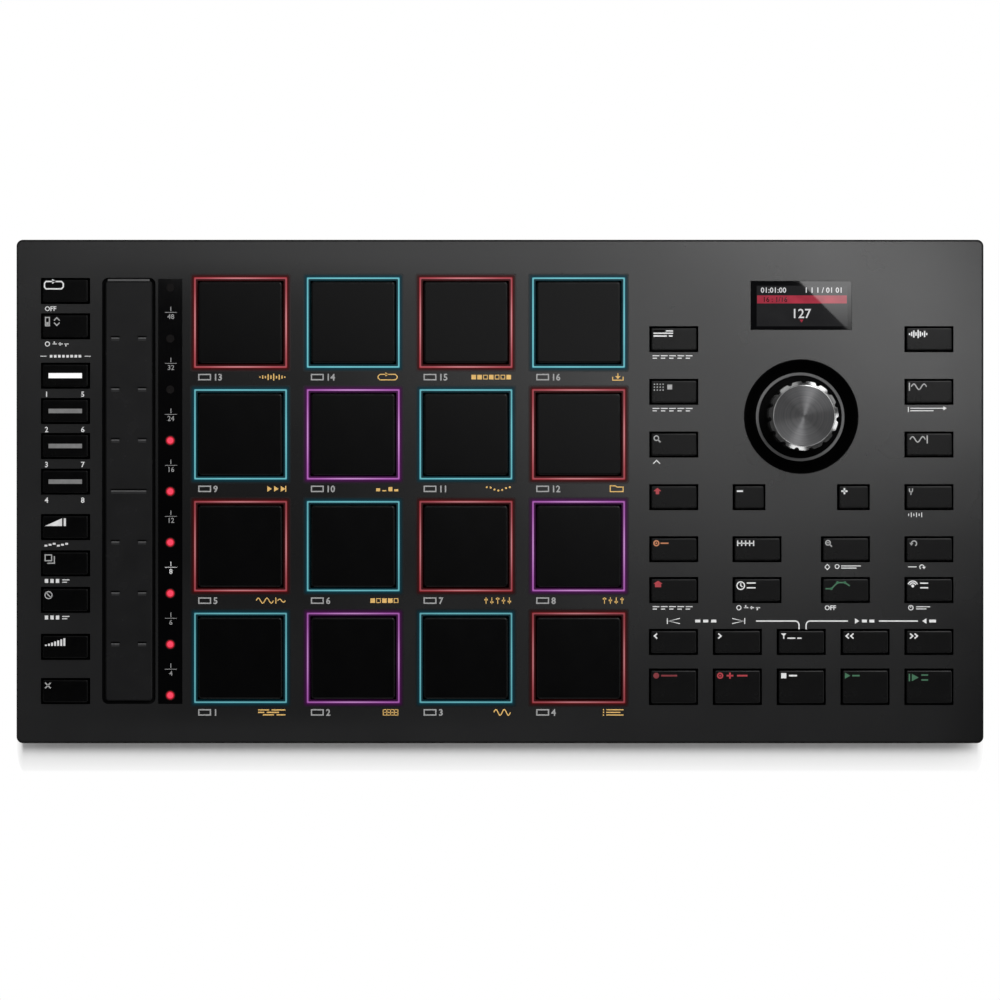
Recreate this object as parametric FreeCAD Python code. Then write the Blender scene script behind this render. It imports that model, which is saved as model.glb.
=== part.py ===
import FreeCAD, Part
import math
import os
from FreeCAD import Vector

# A desktop pad controller: sixteen soft pads in light frames, a touch strip, a row of level lamps,
# thirty-nine push buttons, a small screen and a push-and-turn dial, in a two-part plastic case.
# Sizes are millimetres. X runs from left to right, Y from the front to the rear, and Z up.
# The origin is on the desk, under the middle of the case.

# Case
case_length = 315.0
case_width = 164.0
panel_height = 29.0
corner_radius = 2.1
panel_edge_bevel = 0.6
wall = 2.5
panel_thickness = 2.5
seam_height = 6.5
base_clear = 2.5
base_thickness = 2.2
base_draw_in = 3.0
lip_height = 1.6
lip_thickness = 1.5
lip_gap = 0.2

# How deep a feature is let into the one it is joined to, and how far a cut runs past a face
overlap = 0.5
past = 1.0

# Screws, their pillars, and feet
pillar_size = 6.8
screw_columns = 3
screw_inset_x = 7.5
screw_inset_y = 6.4
screw_radius = 1.25
screw_hole_gap = 0.2
screw_pilot_gap = 0.05
screw_bite = 4.0
screw_head_radius = 2.3
screw_head_height = 1.8
counterbore_gap = 0.3
counterbore_depth = 5.5
foot_radius = 8.0
foot_bevel = 0.6
foot_inset_x = 26.0
foot_inset_y = 24.0

# Boards
main_board_drop = 8.0
board_thickness = 1.6
board_edge_gap = 1.0
board_pillar_gap = 0.5
board_gap = 1.0
sensor_board_margin = 1.2
sensor_size = 22.0
sensor_height = 0.4
spacer_size = 6.0
led_length = 3.0
led_width = 1.2
led_height = 0.8

# Pads, the sheet that carries them and their light frames
pad_count = 4
pad_field_x = -29.45
pad_field_y = 0.4
pad_pitch_x = 36.7
pad_pitch_y = 36.4
frame_length = 31.3
frame_width = 30.5
frame_line = 1.6
frame_gap = 0.15
frame_rise = 0.1
guide_thickness = 1.0
guide_margin = 1.6
pad_gap = 0.4
pad_rise = 2.5
pad_bevel = 0.6
pad_bevel_height = 0.8
pad_corner = 0.8
mat_thickness = 1.5
led_notch_gap = 0.5
led_offset = 0.1

# Push buttons
button_length = 16.0
button_width = 8.5
small_button_length = 10.7
transport_button_width = 11.9
button_gap = 0.5
button_rise = 1.2
button_bevel = 0.4
button_draft = 0.1
button_travel = 1.0
flange_margin = 0.8
flange_thickness = 1.2
flange_gap = 0.3
post_size = 2.4
post_gap = 0.3
switch_size = 6.0
switch_height = 2.5
switch_floor = 0.3
left_column_x = -141.5
left_column_ys = (65.3, 53.8, 37.7, 26.2, 14.8, 3.2, -11.6, -23.4, -35.3, -50.6, -65.0)
column_a = 56.6
column_b = 83.7
column_d = 112.5
column_e = 139.7
minus_x = 81.1
plus_x = 115.1
transport_x = 98.1
transport_pitch = 20.8
upper_row_count = 4
upper_row_y = 49.6
upper_row_pitch = 17.15
edit_row_y = -18.8
main_row_y = -32.1
locate_row_y = -49.0
transport_row_y = -63.6

# Touch strip and the window over the level lamps
strip_x = -120.9
strip_y = 0.2
strip_opening_length = 138.8
strip_opening_width = 17.4
strip_groove = 1.1
strip_corner = 0.9
strip_rise = 0.3
strip_bevel = 0.4
strip_flange = 0.3
strip_end_flange = 1.2
strip_flange_thickness = 1.4
dash_length = 2.6
dash_width = 0.4
dash_depth = 0.3
dash_spread = 8.7
dash_pitch = 16.6
dash_rows = 3
centre_line_length = 11.4
window_x = -107.4
window_width = 7.9
window_length = 138.4
window_gap = 0.1
lamp_count = 9
lamp_pitch = 16.6
light_pipe_size = 2.4
lamp_gap = 0.3

# Screen
screen_x = 98.1
screen_y = 60.6
screen_length = 33.0
screen_width = 16.0
screen_gap = 0.1
screen_flange = 1.5
screen_flange_thickness = 1.0
display_margin = 1.0
display_gap = 0.2
display_glass_height = 1.3
display_frame_margin = 2.5

# Dial
dial_x = 98.1
dial_y = 24.4
well_radius = 18.6
well_gap = 0.1
well_rim = 0.3
well_rise = 0.2
well_depth = 6.6
well_floor_radius = 14.5
well_floor = 1.1
well_ring_width = 1.0
well_ring_height = 0.3
well_flange = 1.4
well_flange_thickness = 1.2
knob_radius = 11.2
knob_face_radius = 10.0
knob_shoulder = 1.6
knob_height = 17.0
knob_floor_gap = 1.2
flute_count = 15
flute_radius = 0.8
flute_depth = 0.5
shaft_radius = 3.0
shaft_length_in_knob = 13.0
shaft_flat_cut = 1.5
shaft_round_length = 2.6
shaft_gap = 0.05
bushing_wall = 0.5
bushing_gap = 0.2
bushing_rise = 0.4
encoder_length = 13.4
encoder_width = 12.0
encoder_height = 6.5
encoder_floor = 1.5
plunger_side_gap = 0.25
plunger_disc = 1.0
plunger_pin_radius = 1.5
plunger_pin_reach = 0.9
plunger_gap = 0.2
push_travel = 0.5

# Rear sockets
usb_x = 125.0
usb_length = 12.0
usb_height = 11.0
usb_depth = 16.0
usb_set_back = 1.0
usb_gap = 0.3
usb_mouth_length = 8.5
usb_mouth_height = 7.8
usb_mouth_corner = 1.6
usb_mouth_depth = 10.0
usb_tongue_length = 5.6
usb_tongue_height = 3.2
usb_tongue_reach = 6.4
jack_xs = (92.0, 106.0)
jack_size = 6.6
jack_depth = 12.0
jack_collar_radius = 3.0
jack_collar_length = 2.0
jack_gap = 0.3
jack_bore_radius = 1.8
jack_bore_depth = 11.0
lock_x = -130.0
lock_height = 14.0
lock_length = 7.0
lock_width = 3.0

# Stiffening ribs
rib_thickness = 1.5
base_rib_height = 3.0
base_rib_y = 50.0
board_post_size = 5.0
panel_rib_x = 45.3
panel_rib_height = 4.0

# Heights that follow from the sizes above
panel_underside = panel_height - panel_thickness
board_top = panel_height - main_board_drop
board_underside = board_top - board_thickness
sensor_board_underside = board_top + board_gap
sensor_board_top = sensor_board_underside + board_thickness
guide_underside = panel_underside - guide_thickness
mat_top = guide_underside
mat_underside = mat_top - mat_thickness
base_top = base_clear + base_thickness
inner_length = case_length - 2 * wall
inner_width = case_width - 2 * wall
flange_top = panel_underside - flange_gap
flange_underside = flange_top - flange_thickness
well_top = panel_height + well_rise
well_floor_top = panel_height - well_depth
bushing_top = well_floor_top + bushing_rise
bushing_radius = shaft_radius + bushing_wall
shaft_flat = shaft_radius - shaft_flat_cut
plunger_radius = shaft_radius + shaft_gap - plunger_side_gap
encoder_underside = board_underside - encoder_height
knob_underside = well_floor_top + knob_floor_gap
knob_top = panel_height + knob_height
rear_face_y = case_width / 2
strip_opening_corner = strip_corner + strip_groove

# The ribs of the base cross under the dial, and again on the other side
base_rib_xs = (-dial_x, 0.0, dial_x)
base_rib_ys = (-base_rib_y, dial_y, base_rib_y)

# The four corners of a rectangle, anticlockwise from the front left
corner_signs = ((-1, -1), (1, -1), (1, 1), (-1, 1))


def corner_points(x, y, length, width):
    half_x = length / 2
    half_y = width / 2
    return [(x + sx * half_x, y + sy * half_y) for sx, sy in corner_signs]


def outline(x, y, length, width, z, radius=0.0):
    """A rectangle in a level plane, centred on x and y, with sharp or round corners."""
    if radius <= 0:
        points = [Vector(px, py, z) for px, py in corner_points(x, y, length, width)]
        return Part.makePolygon(points + points[:1])
    up = Vector(0, 0, 1)
    centres = corner_points(x, y, length - 2 * radius, width - 2 * radius)
    edges = []
    for turn, (cx, cy) in enumerate(centres):
        start = 180 + 90 * turn
        arc = Part.makeCircle(radius, Vector(cx, cy, z), up, start, start + 90)
        edges.append(arc)
    sides = []
    for arc, following in zip(edges, edges[1:] + edges[:1]):
        sides.append(arc)
        sides.append(Part.makeLine(arc.lastVertex().Point, following.firstVertex().Point))
    return Part.Wire(sides)


def cut_outline(x, y, length, width, z, cut):
    """A rectangle in a level plane whose corners are cut off at 45 degrees."""
    long_side = corner_points(x, y, length - 2 * cut, width)
    short_side = corner_points(x, y, length, width - 2 * cut)
    turns = zip(short_side, long_side)
    points = []
    for k, (on_short, on_long) in enumerate(turns):
        pair = (on_short, on_long) if k % 2 == 0 else (on_long, on_short)
        points += [Vector(px, py, z) for px, py in pair]
    return Part.makePolygon(points + points[:1])


def block(x, y, length, width, low, high, radius=0.0):
    """An upright block on such a rectangle, from one height to another."""
    face = Part.Face(outline(x, y, length, width, low, radius))
    return face.extrude(Vector(0, 0, high - low))


def tapered(x, y, sections):
    """A block whose outline changes with height: each section is (length, width, z, radius)."""
    wires = [outline(x, y, length, width, z, radius) for length, width, z, radius in sections]
    return Part.makeLoft(wires, True, True)


def post(x, y, radius, low, high):
    return Part.makeCylinder(radius, high - low, Vector(x, y, low))


def rear_hole(x, z, radius, start_y, end_y):
    """A round bar along Y, to cut a bore that opens to the rear."""
    return Part.makeCylinder(radius, end_y - start_y, Vector(x, start_y, z), Vector(0, 1, 0))


def turned(x, y, profile):
    """A solid of revolution about an upright axis, from (radius, z) corners."""
    points = [Vector(radius, 0, z) for radius, z in profile]
    face = Part.Face(Part.makePolygon(points + points[:1]))
    solid = face.revolve(Vector(0, 0, 0), Vector(0, 0, 1), 360)
    solid.translate(Vector(x, y, 0))
    return solid


def joined(first, others):
    return first.fuse(others).removeSplitter()


def pad_centres():
    middle = (pad_count - 1) / 2
    centres = []
    for row in range(pad_count):
        for column in range(pad_count):
            x = pad_field_x + (column - middle) * pad_pitch_x
            y = pad_field_y + (row - middle) * pad_pitch_y
            centres.append((x, y))
    return centres


def pad_field_size(margin):
    """The sheet that reaches a margin past the outermost light frames."""
    span = pad_count - 1
    length = span * pad_pitch_x + frame_length + 2 * margin
    width = span * pad_pitch_y + frame_width + 2 * margin
    return length, width


def frame_lamp_places():
    """One lamp for each light frame, under the front side of it."""
    reach = frame_width / 2 + led_offset
    return [(x, y - reach) for x, y in pad_centres()]


def lamp_places():
    middle = (lamp_count - 1) / 2
    return [(window_x, (k - middle) * lamp_pitch) for k in range(lamp_count)]


def screw_places():
    outer_x = case_length / 2 - screw_inset_x
    y = case_width / 2 - screw_inset_y
    step = 2 * outer_x / (screw_columns - 1)
    return [(-outer_x + k * step, side * y) for side in (-1, 1) for k in range(screw_columns)]


def board_post_places():
    return [(x, side * base_rib_y) for side in (-1, 1) for x in base_rib_xs]


def foot_places():
    x = case_length / 2 - foot_inset_x
    y = case_width / 2 - foot_inset_y
    return [(sx * x, sy * y) for sx, sy in corner_signs]


def button_places():
    """Each push button's name, centre and opening."""
    left = (
        "repeat_button",
        "strip_mode_button",
        "bank_1_button",
        "bank_2_button",
        "bank_3_button",
        "bank_4_button",
        "full_level_button",
        "copy_button",
        "mute_button",
        "level_steps_button",
        "erase_button",
    )
    rows = [upper_row_y - k * upper_row_pitch for k in range(upper_row_count)]
    wide = [(name, left_column_x, y) for name, y in zip(left, left_column_ys)]
    wide += [
        ("track_button", column_a, rows[0]),
        ("program_button", column_a, rows[1]),
        ("browse_button", column_a, rows[2]),
        ("shift_button", column_a, rows[3]),
        ("sample_select_button", column_e, rows[0]),
        ("sample_start_button", column_e, rows[1]),
        ("sample_end_button", column_e, rows[2]),
        ("tune_button", column_e, rows[3]),
        ("mode_button", column_a, edit_row_y),
        ("quantize_button", column_b, edit_row_y),
        ("zoom_button", column_d, edit_row_y),
        ("undo_button", column_e, edit_row_y),
        ("main_button", column_a, main_row_y),
        ("time_correct_button", column_b, main_row_y),
        ("automation_button", column_d, main_row_y),
        ("tap_button", column_e, main_row_y),
    ]
    places = [(name, x, y, button_length, button_width) for name, x, y in wide]
    for name, x in (("minus_button", minus_x), ("plus_button", plus_x)):
        places.append((name, x, rows[3], small_button_length, button_width))
    step_names = ("step_back", "step_forward", "locate", "rewind", "fast_forward")
    play_names = ("record", "overdub", "stop", "play", "play_start")
    middle = (len(step_names) - 1) / 2
    for k, (step_name, play_name) in enumerate(zip(step_names, play_names)):
        x = transport_x + (k - middle) * transport_pitch
        places.append((step_name + "_button", x, locate_row_y, button_length, button_width))
        places.append((play_name + "_button", x, transport_row_y, button_length, transport_button_width))
    return places


def panel_openings():
    """Bars that cut the panel for the pads, buttons, strip, window, screen and dial well."""
    low = panel_underside - past
    high = panel_height + past
    bars = []
    for x, y in pad_centres():
        length = frame_length + 2 * frame_gap
        width = frame_width + 2 * frame_gap
        bars.append(block(x, y, length, width, low, high))
    for name, x, y, length, width in button_places():
        bars.append(block(x, y, length, width, low, high))
    corner = strip_opening_corner
    bars.append(block(strip_x, strip_y, strip_opening_width, strip_opening_length, low, high, corner))
    bars.append(block(window_x, 0, window_width, window_length, low, high))
    bars.append(block(screen_x, screen_y, screen_length, screen_width, low, high))
    bars.append(post(dial_x, dial_y, well_radius + well_gap, low, high))
    return bars


def rear_openings():
    """Bars that cut the rear wall for the sockets and the lock slot."""
    inside = rear_face_y - wall - past
    outside = rear_face_y + past
    usb_low = board_underside - usb_height - usb_gap
    usb_high = board_underside + usb_gap
    middle_y = (inside + outside) / 2
    depth = outside - inside
    bars = [block(usb_x, middle_y, usb_length + 2 * usb_gap, depth, usb_low, usb_high)]
    jack_z = board_underside - jack_size / 2
    for x in jack_xs:
        bars.append(rear_hole(x, jack_z, jack_collar_radius + jack_gap, inside, outside))
    lock_low = lock_height - lock_width / 2
    bars.append(block(lock_x, middle_y, lock_length, depth, lock_low, lock_low + lock_width))
    return bars


def screw_pillars(low, high):
    """Square pillars for the screws, joined to the front and rear walls."""
    pillars = []
    for x, y in screw_places():
        side = math.copysign(1, y)
        inner = abs(y) - pillar_size / 2
        width = inner_width / 2 - inner
        pillars.append(block(x, side * (inner + width / 2), pillar_size, width, low, high))
    return pillars


def make_top_case():
    """The upper shell: the panel with all its openings, the four walls, pillars and a rib."""
    shell = block(0, 0, case_length, case_width, seam_height, panel_height, corner_radius)
    rim = [edge for edge in shell.Edges if edge.BoundBox.ZMin > panel_height - overlap]
    shell = shell.makeChamfer(panel_edge_bevel, rim)
    hollow = block(0, 0, inner_length, inner_width, seam_height - past, panel_underside)
    shell = shell.cut(hollow)
    additions = screw_pillars(board_top, panel_underside)
    rib_low = panel_underside - panel_rib_height
    length, width = pad_field_size(0)
    additions.append(block(panel_rib_x, pad_field_y, rib_thickness, width, rib_low, panel_underside))
    shell = joined(shell, additions)
    cuts = panel_openings() + rear_openings()
    pilot = screw_radius + screw_pilot_gap
    pilot_top = board_top + screw_bite + screw_hole_gap
    cuts += [post(x, y, pilot, board_top - past, pilot_top) for x, y in screw_places()]
    return shell.cut(Part.makeCompound(cuts))


def make_bottom_case():
    """The lower shell: a tray drawn in to its base, with a lip, ribs, screw pillars and board posts."""
    drawn_length = case_length - 2 * base_draw_in
    drawn_width = case_width - 2 * base_draw_in
    tray = tapered(
        0,
        0,
        (
            (drawn_length, drawn_width, base_clear, corner_radius),
            (case_length, case_width, seam_height, corner_radius),
        ),
    )
    lip_length = inner_length - 2 * lip_gap
    lip_width = inner_width - 2 * lip_gap
    tray = joined(tray, [block(0, 0, lip_length, lip_width, base_top, seam_height + lip_height)])
    floor_length = lip_length - 2 * lip_thickness
    floor_width = lip_width - 2 * lip_thickness
    tray = tray.cut(block(0, 0, floor_length, floor_width, base_top, seam_height + lip_height + past))
    pillars = [
        block(x, y, pillar_size, pillar_size, base_top - overlap, board_top) for x, y in screw_places()
    ]
    rib_top = base_top + base_rib_height
    rib_low = base_top - overlap
    ribs = [block(x, 0, rib_thickness, floor_width, rib_low, rib_top) for x in base_rib_xs]
    ribs += [block(0, y, floor_length, rib_thickness, rib_low, rib_top) for y in base_rib_ys]
    posts = [
        block(x, y, board_post_size, board_post_size, base_top - overlap, board_underside)
        for x, y in board_post_places()
    ]
    tray = joined(tray, pillars + ribs + posts)
    seat = base_clear + counterbore_depth
    cuts = []
    for x, y in screw_places():
        cuts.append(post(x, y, screw_head_radius + counterbore_gap, base_clear - past, seat))
        cuts.append(post(x, y, screw_radius + screw_hole_gap, seat - past, board_top + past))
    return tray.cut(Part.makeCompound(cuts))


def make_case_screws():
    seat = base_clear + counterbore_depth
    tip = board_top + screw_bite
    profile = (
        (0, seat - screw_head_height),
        (screw_head_radius, seat - screw_head_height),
        (screw_head_radius, seat),
        (screw_radius, seat),
        (screw_radius, tip),
        (0, tip),
    )
    return Part.makeCompound([turned(x, y, profile) for x, y in screw_places()])


def make_rubber_feet():
    profile = (
        (0, 0),
        (foot_radius - foot_bevel, 0),
        (foot_radius, foot_bevel),
        (foot_radius, base_clear),
        (0, base_clear),
    )
    return Part.makeCompound([turned(x, y, profile) for x, y in foot_places()])


def make_main_board():
    """The board between the screw pillars, resting on the posts of the lower shell."""
    length = inner_length - 2 * board_edge_gap
    width = case_width - 2 * (screw_inset_y + pillar_size / 2 + board_pillar_gap)
    board = block(0, 0, length, width, board_underside, board_top)
    hole = bushing_radius + bushing_gap
    return board.cut(post(dial_x, dial_y, hole, board_underside - past, board_top + past))


def make_key_switches():
    top = board_top + switch_height
    well = post_size + 2 * post_gap
    switches = []
    for name, x, y, length, width in button_places():
        body = block(x, y, switch_size, switch_size, board_top, top)
        switches.append(body.cut(block(x, y, well, well, board_top + switch_floor, top + past)))
    return Part.makeCompound(switches)


def make_button(x, y, length, width):
    """A cap with bevelled top edges, a flange that stops it under the panel, and a switch post."""
    cap_length = length - 2 * button_gap
    cap_width = width - 2 * button_gap
    top = panel_height + button_rise
    shrink = 2 * button_draft
    bevel = 2 * (button_draft + button_bevel)
    cap = tapered(
        x,
        y,
        (
            (cap_length, cap_width, flange_underside, 0),
            (cap_length - shrink, cap_width - shrink, top - button_bevel, 0),
            (cap_length - bevel, cap_width - bevel, top, 0),
        ),
    )
    flange_length = length + 2 * flange_margin
    flange_width = width + 2 * flange_margin
    flange = block(x, y, flange_length, flange_width, flange_underside, flange_top)
    post_end = board_top + switch_floor + button_travel + post_gap
    stem = block(x, y, post_size, post_size, post_end, flange_underside + overlap)
    return joined(cap, [flange, stem])


def make_pad_light_frames():
    """One clear moulding: a sheet under the panel with a thin wall up round each pad."""
    length, width = pad_field_size(guide_margin)
    guide = block(pad_field_x, pad_field_y, length, width, guide_underside, panel_underside)
    top = panel_height + frame_rise
    walls = [block(x, y, frame_length, frame_width, guide_underside, top) for x, y in pad_centres()]
    guide = joined(guide, walls)
    hole_length = frame_length - 2 * frame_line
    hole_width = frame_width - 2 * frame_line
    holes = [
        block(x, y, hole_length, hole_width, guide_underside - past, top + past) for x, y in pad_centres()
    ]
    return guide.cut(Part.makeCompound(holes))


def make_pad(x, y):
    """One pad: a straight block with cut corners and bevelled top edges."""
    length = frame_length - 2 * frame_line - 2 * pad_gap
    width = frame_width - 2 * frame_line - 2 * pad_gap
    top = panel_height + pad_rise
    face_length = length - 2 * pad_bevel
    face_width = width - 2 * pad_bevel
    sections = [
        cut_outline(x, y, length, width, mat_underside, pad_corner),
        cut_outline(x, y, length, width, top - pad_bevel_height, pad_corner),
        cut_outline(x, y, face_length, face_width, top, pad_corner),
    ]
    return Part.makeLoft(sections, True, True)


def make_pad_mat():
    """The soft sheet with the sixteen pads, notched where the frame lamps stand."""
    length, width = pad_field_size(guide_margin)
    sheet = block(pad_field_x, pad_field_y, length, width, mat_underside, mat_top)
    notch_length = led_length + 2 * led_notch_gap
    notch_width = led_width + 2 * led_notch_gap
    notches = [
        block(x, y, notch_length, notch_width, mat_underside - past, mat_top + past)
        for x, y in frame_lamp_places()
    ]
    sheet = sheet.cut(Part.makeCompound(notches))
    return joined(sheet, [make_pad(x, y) for x, y in pad_centres()])


def make_pad_sensor_board():
    length, width = pad_field_size(sensor_board_margin)
    board = block(pad_field_x, pad_field_y, length, width, sensor_board_underside, sensor_board_top)
    sensors = [
        block(x, y, sensor_size, sensor_size, sensor_board_top, sensor_board_top + sensor_height)
        for x, y in pad_centres()
    ]
    reach_x = length / 2 - spacer_size
    reach_y = width / 2 - spacer_size
    spacers = [
        block(
            pad_field_x + sx * reach_x,
            pad_field_y + sy * reach_y,
            spacer_size,
            spacer_size,
            board_top,
            sensor_board_underside,
        )
        for sx in (-1, 0, 1)
        for sy in (-1, 0, 1)
    ]
    return joined(board, sensors + spacers)


def make_board_lamps():
    """The lamps beside the pads, on the sensor board, and those of the level row."""
    lamps = [
        block(x, y, led_length, led_width, sensor_board_top, sensor_board_top + led_height)
        for x, y in frame_lamp_places()
    ]
    lamps += [
        block(x, y, led_length, led_length, board_top, board_top + led_height) for x, y in lamp_places()
    ]
    return Part.makeCompound(lamps)


def make_touch_strip():
    length = strip_opening_length - 2 * strip_groove
    width = strip_opening_width - 2 * strip_groove
    top = panel_height + strip_rise
    body = tapered(
        strip_x,
        strip_y,
        (
            (width, length, panel_underside - overlap, strip_corner),
            (width, length, top - strip_bevel, strip_corner),
            (width - 2 * strip_bevel, length - 2 * strip_bevel, top, strip_corner - strip_bevel),
        ),
    )
    flange = block(
        strip_x,
        strip_y,
        strip_opening_width + 2 * strip_flange,
        strip_opening_length + 2 * strip_end_flange,
        panel_underside - strip_flange_thickness,
        panel_underside,
    )
    floor = top - dash_depth
    dashes = [block(strip_x, strip_y, centre_line_length, dash_width, floor, top + past)]
    for row in range(1, dash_rows + 1):
        for sx, sy in corner_signs:
            x = strip_x + sx * dash_spread / 2
            y = strip_y + sy * row * dash_pitch
            dashes.append(block(x, y, dash_length, dash_width, floor, top + past))
    return joined(body, [flange]).cut(Part.makeCompound(dashes))


def make_strip_window():
    """The smoked window of the level row, with a light pipe down to each lamp."""
    body = block(
        window_x,
        0,
        window_width - 2 * window_gap,
        window_length - 2 * window_gap,
        panel_underside - overlap,
        panel_height,
    )
    flange = block(
        window_x,
        0,
        window_width + 2 * strip_flange,
        window_length + 2 * strip_end_flange,
        panel_underside - strip_flange_thickness,
        panel_underside,
    )
    pipe_end = board_top + led_height + lamp_gap
    pipes = [
        block(x, y, light_pipe_size, light_pipe_size, pipe_end, panel_underside - overlap)
        for x, y in lamp_places()
    ]
    return joined(body, [flange] + pipes)


def make_screen_lens():
    body = block(
        screen_x,
        screen_y,
        screen_length - 2 * screen_gap,
        screen_width - 2 * screen_gap,
        panel_underside - overlap,
        panel_height,
    )
    flange = block(
        screen_x,
        screen_y,
        screen_length + 2 * screen_flange,
        screen_width + 2 * screen_flange,
        panel_underside - screen_flange_thickness,
        panel_underside,
    )
    return joined(body, [flange])


def make_display_module():
    glass_top = panel_underside - screen_flange_thickness - display_gap
    glass = block(
        screen_x,
        screen_y,
        screen_length - 2 * display_margin,
        screen_width - 2 * display_margin,
        glass_top - display_glass_height - overlap,
        glass_top,
    )
    frame = block(
        screen_x,
        screen_y,
        screen_length + 2 * display_frame_margin,
        screen_width + 2 * display_frame_margin,
        board_top,
        glass_top - display_glass_height,
    )
    return joined(glass, [frame])


def make_dial_well():
    """The dished black ring that the dial stands in."""
    inner_rim = well_radius - well_rim
    underside = well_floor_top - well_floor
    flange_low = panel_underside - well_flange_thickness
    hole = bushing_radius + bushing_gap
    ring_inner = well_floor_radius - well_ring_width
    profile = (
        (hole, underside),
        (well_floor_radius + well_floor, underside),
        (inner_rim, flange_low),
        (well_radius + well_flange, flange_low),
        (well_radius + well_flange, panel_underside),
        (well_radius, panel_underside),
        (well_radius, well_top),
        (inner_rim, well_top),
        (well_floor_radius, well_floor_top + well_ring_height),
        (ring_inner, well_floor_top + well_ring_height),
        (ring_inner, well_floor_top),
        (hole, well_floor_top),
    )
    return turned(dial_x, dial_y, profile)


def shaft_section(radius, flat, low, high):
    """A round bar with one flat, as a dial's shaft has."""
    bar = post(dial_x, dial_y, radius, low, high)
    side = 2 * (radius + past)
    off = block(dial_x, dial_y + flat + side / 2, side, side, low - past, high + past)
    return bar.cut(off)


def make_knob():
    """A turned knob with a flat face, a sloping shoulder and a fluted grip, bored for its shaft."""
    profile = (
        (0, knob_underside),
        (knob_radius, knob_underside),
        (knob_radius, knob_top - knob_shoulder),
        (knob_face_radius, knob_top),
        (0, knob_top),
    )
    body = turned(dial_x, dial_y, profile)
    ring = knob_radius + flute_radius - flute_depth
    cuts = []
    for k in range(flute_count):
        angle = math.radians(90 + 360 * k / flute_count)
        x = dial_x + ring * math.cos(angle)
        y = dial_y + ring * math.sin(angle)
        cuts.append(post(x, y, flute_radius, knob_underside - past, knob_top + past))
    bore = shaft_radius + shaft_gap
    flat_low = knob_underside + shaft_round_length
    bore_top = knob_underside + shaft_length_in_knob + shaft_gap
    cuts.append(post(dial_x, dial_y, bore, knob_underside - past, flat_low))
    cuts.append(shaft_section(bore, shaft_flat + shaft_gap, flat_low, bore_top))
    return body.cut(Part.makeCompound(cuts))


def make_encoder_shaft():
    low = encoder_underside + encoder_floor + push_travel + plunger_gap + plunger_disc + plunger_gap
    flat_low = knob_underside + shaft_round_length - shaft_gap
    high = knob_underside + shaft_length_in_knob
    round_part = post(dial_x, dial_y, shaft_radius, low, flat_low)
    flat_part = shaft_section(shaft_radius, shaft_flat, flat_low, high)
    return joined(round_part, [flat_part])


def make_encoder_body():
    bore = shaft_radius + shaft_gap
    pin_hole = plunger_pin_radius + shaft_gap
    floor = encoder_underside + encoder_floor
    body = block(dial_x, dial_y, encoder_length, encoder_width, encoder_underside, board_underside)
    body = joined(body, [post(dial_x, dial_y, bushing_radius, board_underside - overlap, bushing_top)])
    cuts = [
        post(dial_x, dial_y, bore, floor, bushing_top + past),
        post(dial_x, dial_y, pin_hole, encoder_underside - past, floor + past),
    ]
    return body.cut(Part.makeCompound(cuts))


def make_encoder_plunger():
    disc_low = encoder_underside + encoder_floor + push_travel + plunger_gap
    disc_high = disc_low + plunger_disc
    profile = (
        (0, encoder_underside - plunger_pin_reach),
        (plunger_pin_radius, encoder_underside - plunger_pin_reach),
        (plunger_pin_radius, disc_low),
        (plunger_radius, disc_low),
        (plunger_radius, disc_high),
        (0, disc_high),
    )
    return turned(dial_x, dial_y, profile)


def make_usb_socket():
    """A square data socket: a shell, its mouth with two cut corners, and the tongue inside."""
    low = board_underside - usb_height
    front = rear_face_y - usb_set_back
    middle_z = low + usb_height / 2
    shell = block(usb_x, front - usb_depth / 2, usb_length, usb_depth, low, board_underside)
    half = usb_mouth_length / 2
    bottom = middle_z - usb_mouth_height / 2
    top = middle_z + usb_mouth_height / 2
    back = front - usb_mouth_depth
    corners = (
        (usb_x - half, bottom),
        (usb_x + half, bottom),
        (usb_x + half, top - usb_mouth_corner),
        (usb_x + half - usb_mouth_corner, top),
        (usb_x - half + usb_mouth_corner, top),
        (usb_x - half, top - usb_mouth_corner),
    )
    points = [Vector(x, back, z) for x, z in corners]
    mouth = Part.Face(Part.makePolygon(points + points[:1])).extrude(Vector(0, usb_mouth_depth + past, 0))
    tongue = block(
        usb_x,
        back + (usb_tongue_reach - overlap) / 2,
        usb_tongue_length,
        usb_tongue_reach + overlap,
        middle_z - usb_tongue_height / 2,
        middle_z + usb_tongue_height / 2,
    )
    return joined(shell.cut(mouth), [tongue])


def make_midi_jacks():
    front = rear_face_y - wall
    collar_end = front + jack_collar_length
    low = board_underside - jack_size
    z = board_underside - jack_size / 2
    jacks = []
    for x in jack_xs:
        body = block(x, front - jack_depth / 2, jack_size, jack_depth, low, board_underside)
        body = joined(body, [rear_hole(x, z, jack_collar_radius, front - overlap, collar_end)])
        bore = rear_hole(x, z, jack_bore_radius, collar_end - jack_bore_depth, collar_end + past)
        jacks.append(body.cut(bore))
    return Part.makeCompound(jacks)


def write(name, shape):
    shape.exportStep("parts/" + name + ".step")


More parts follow.
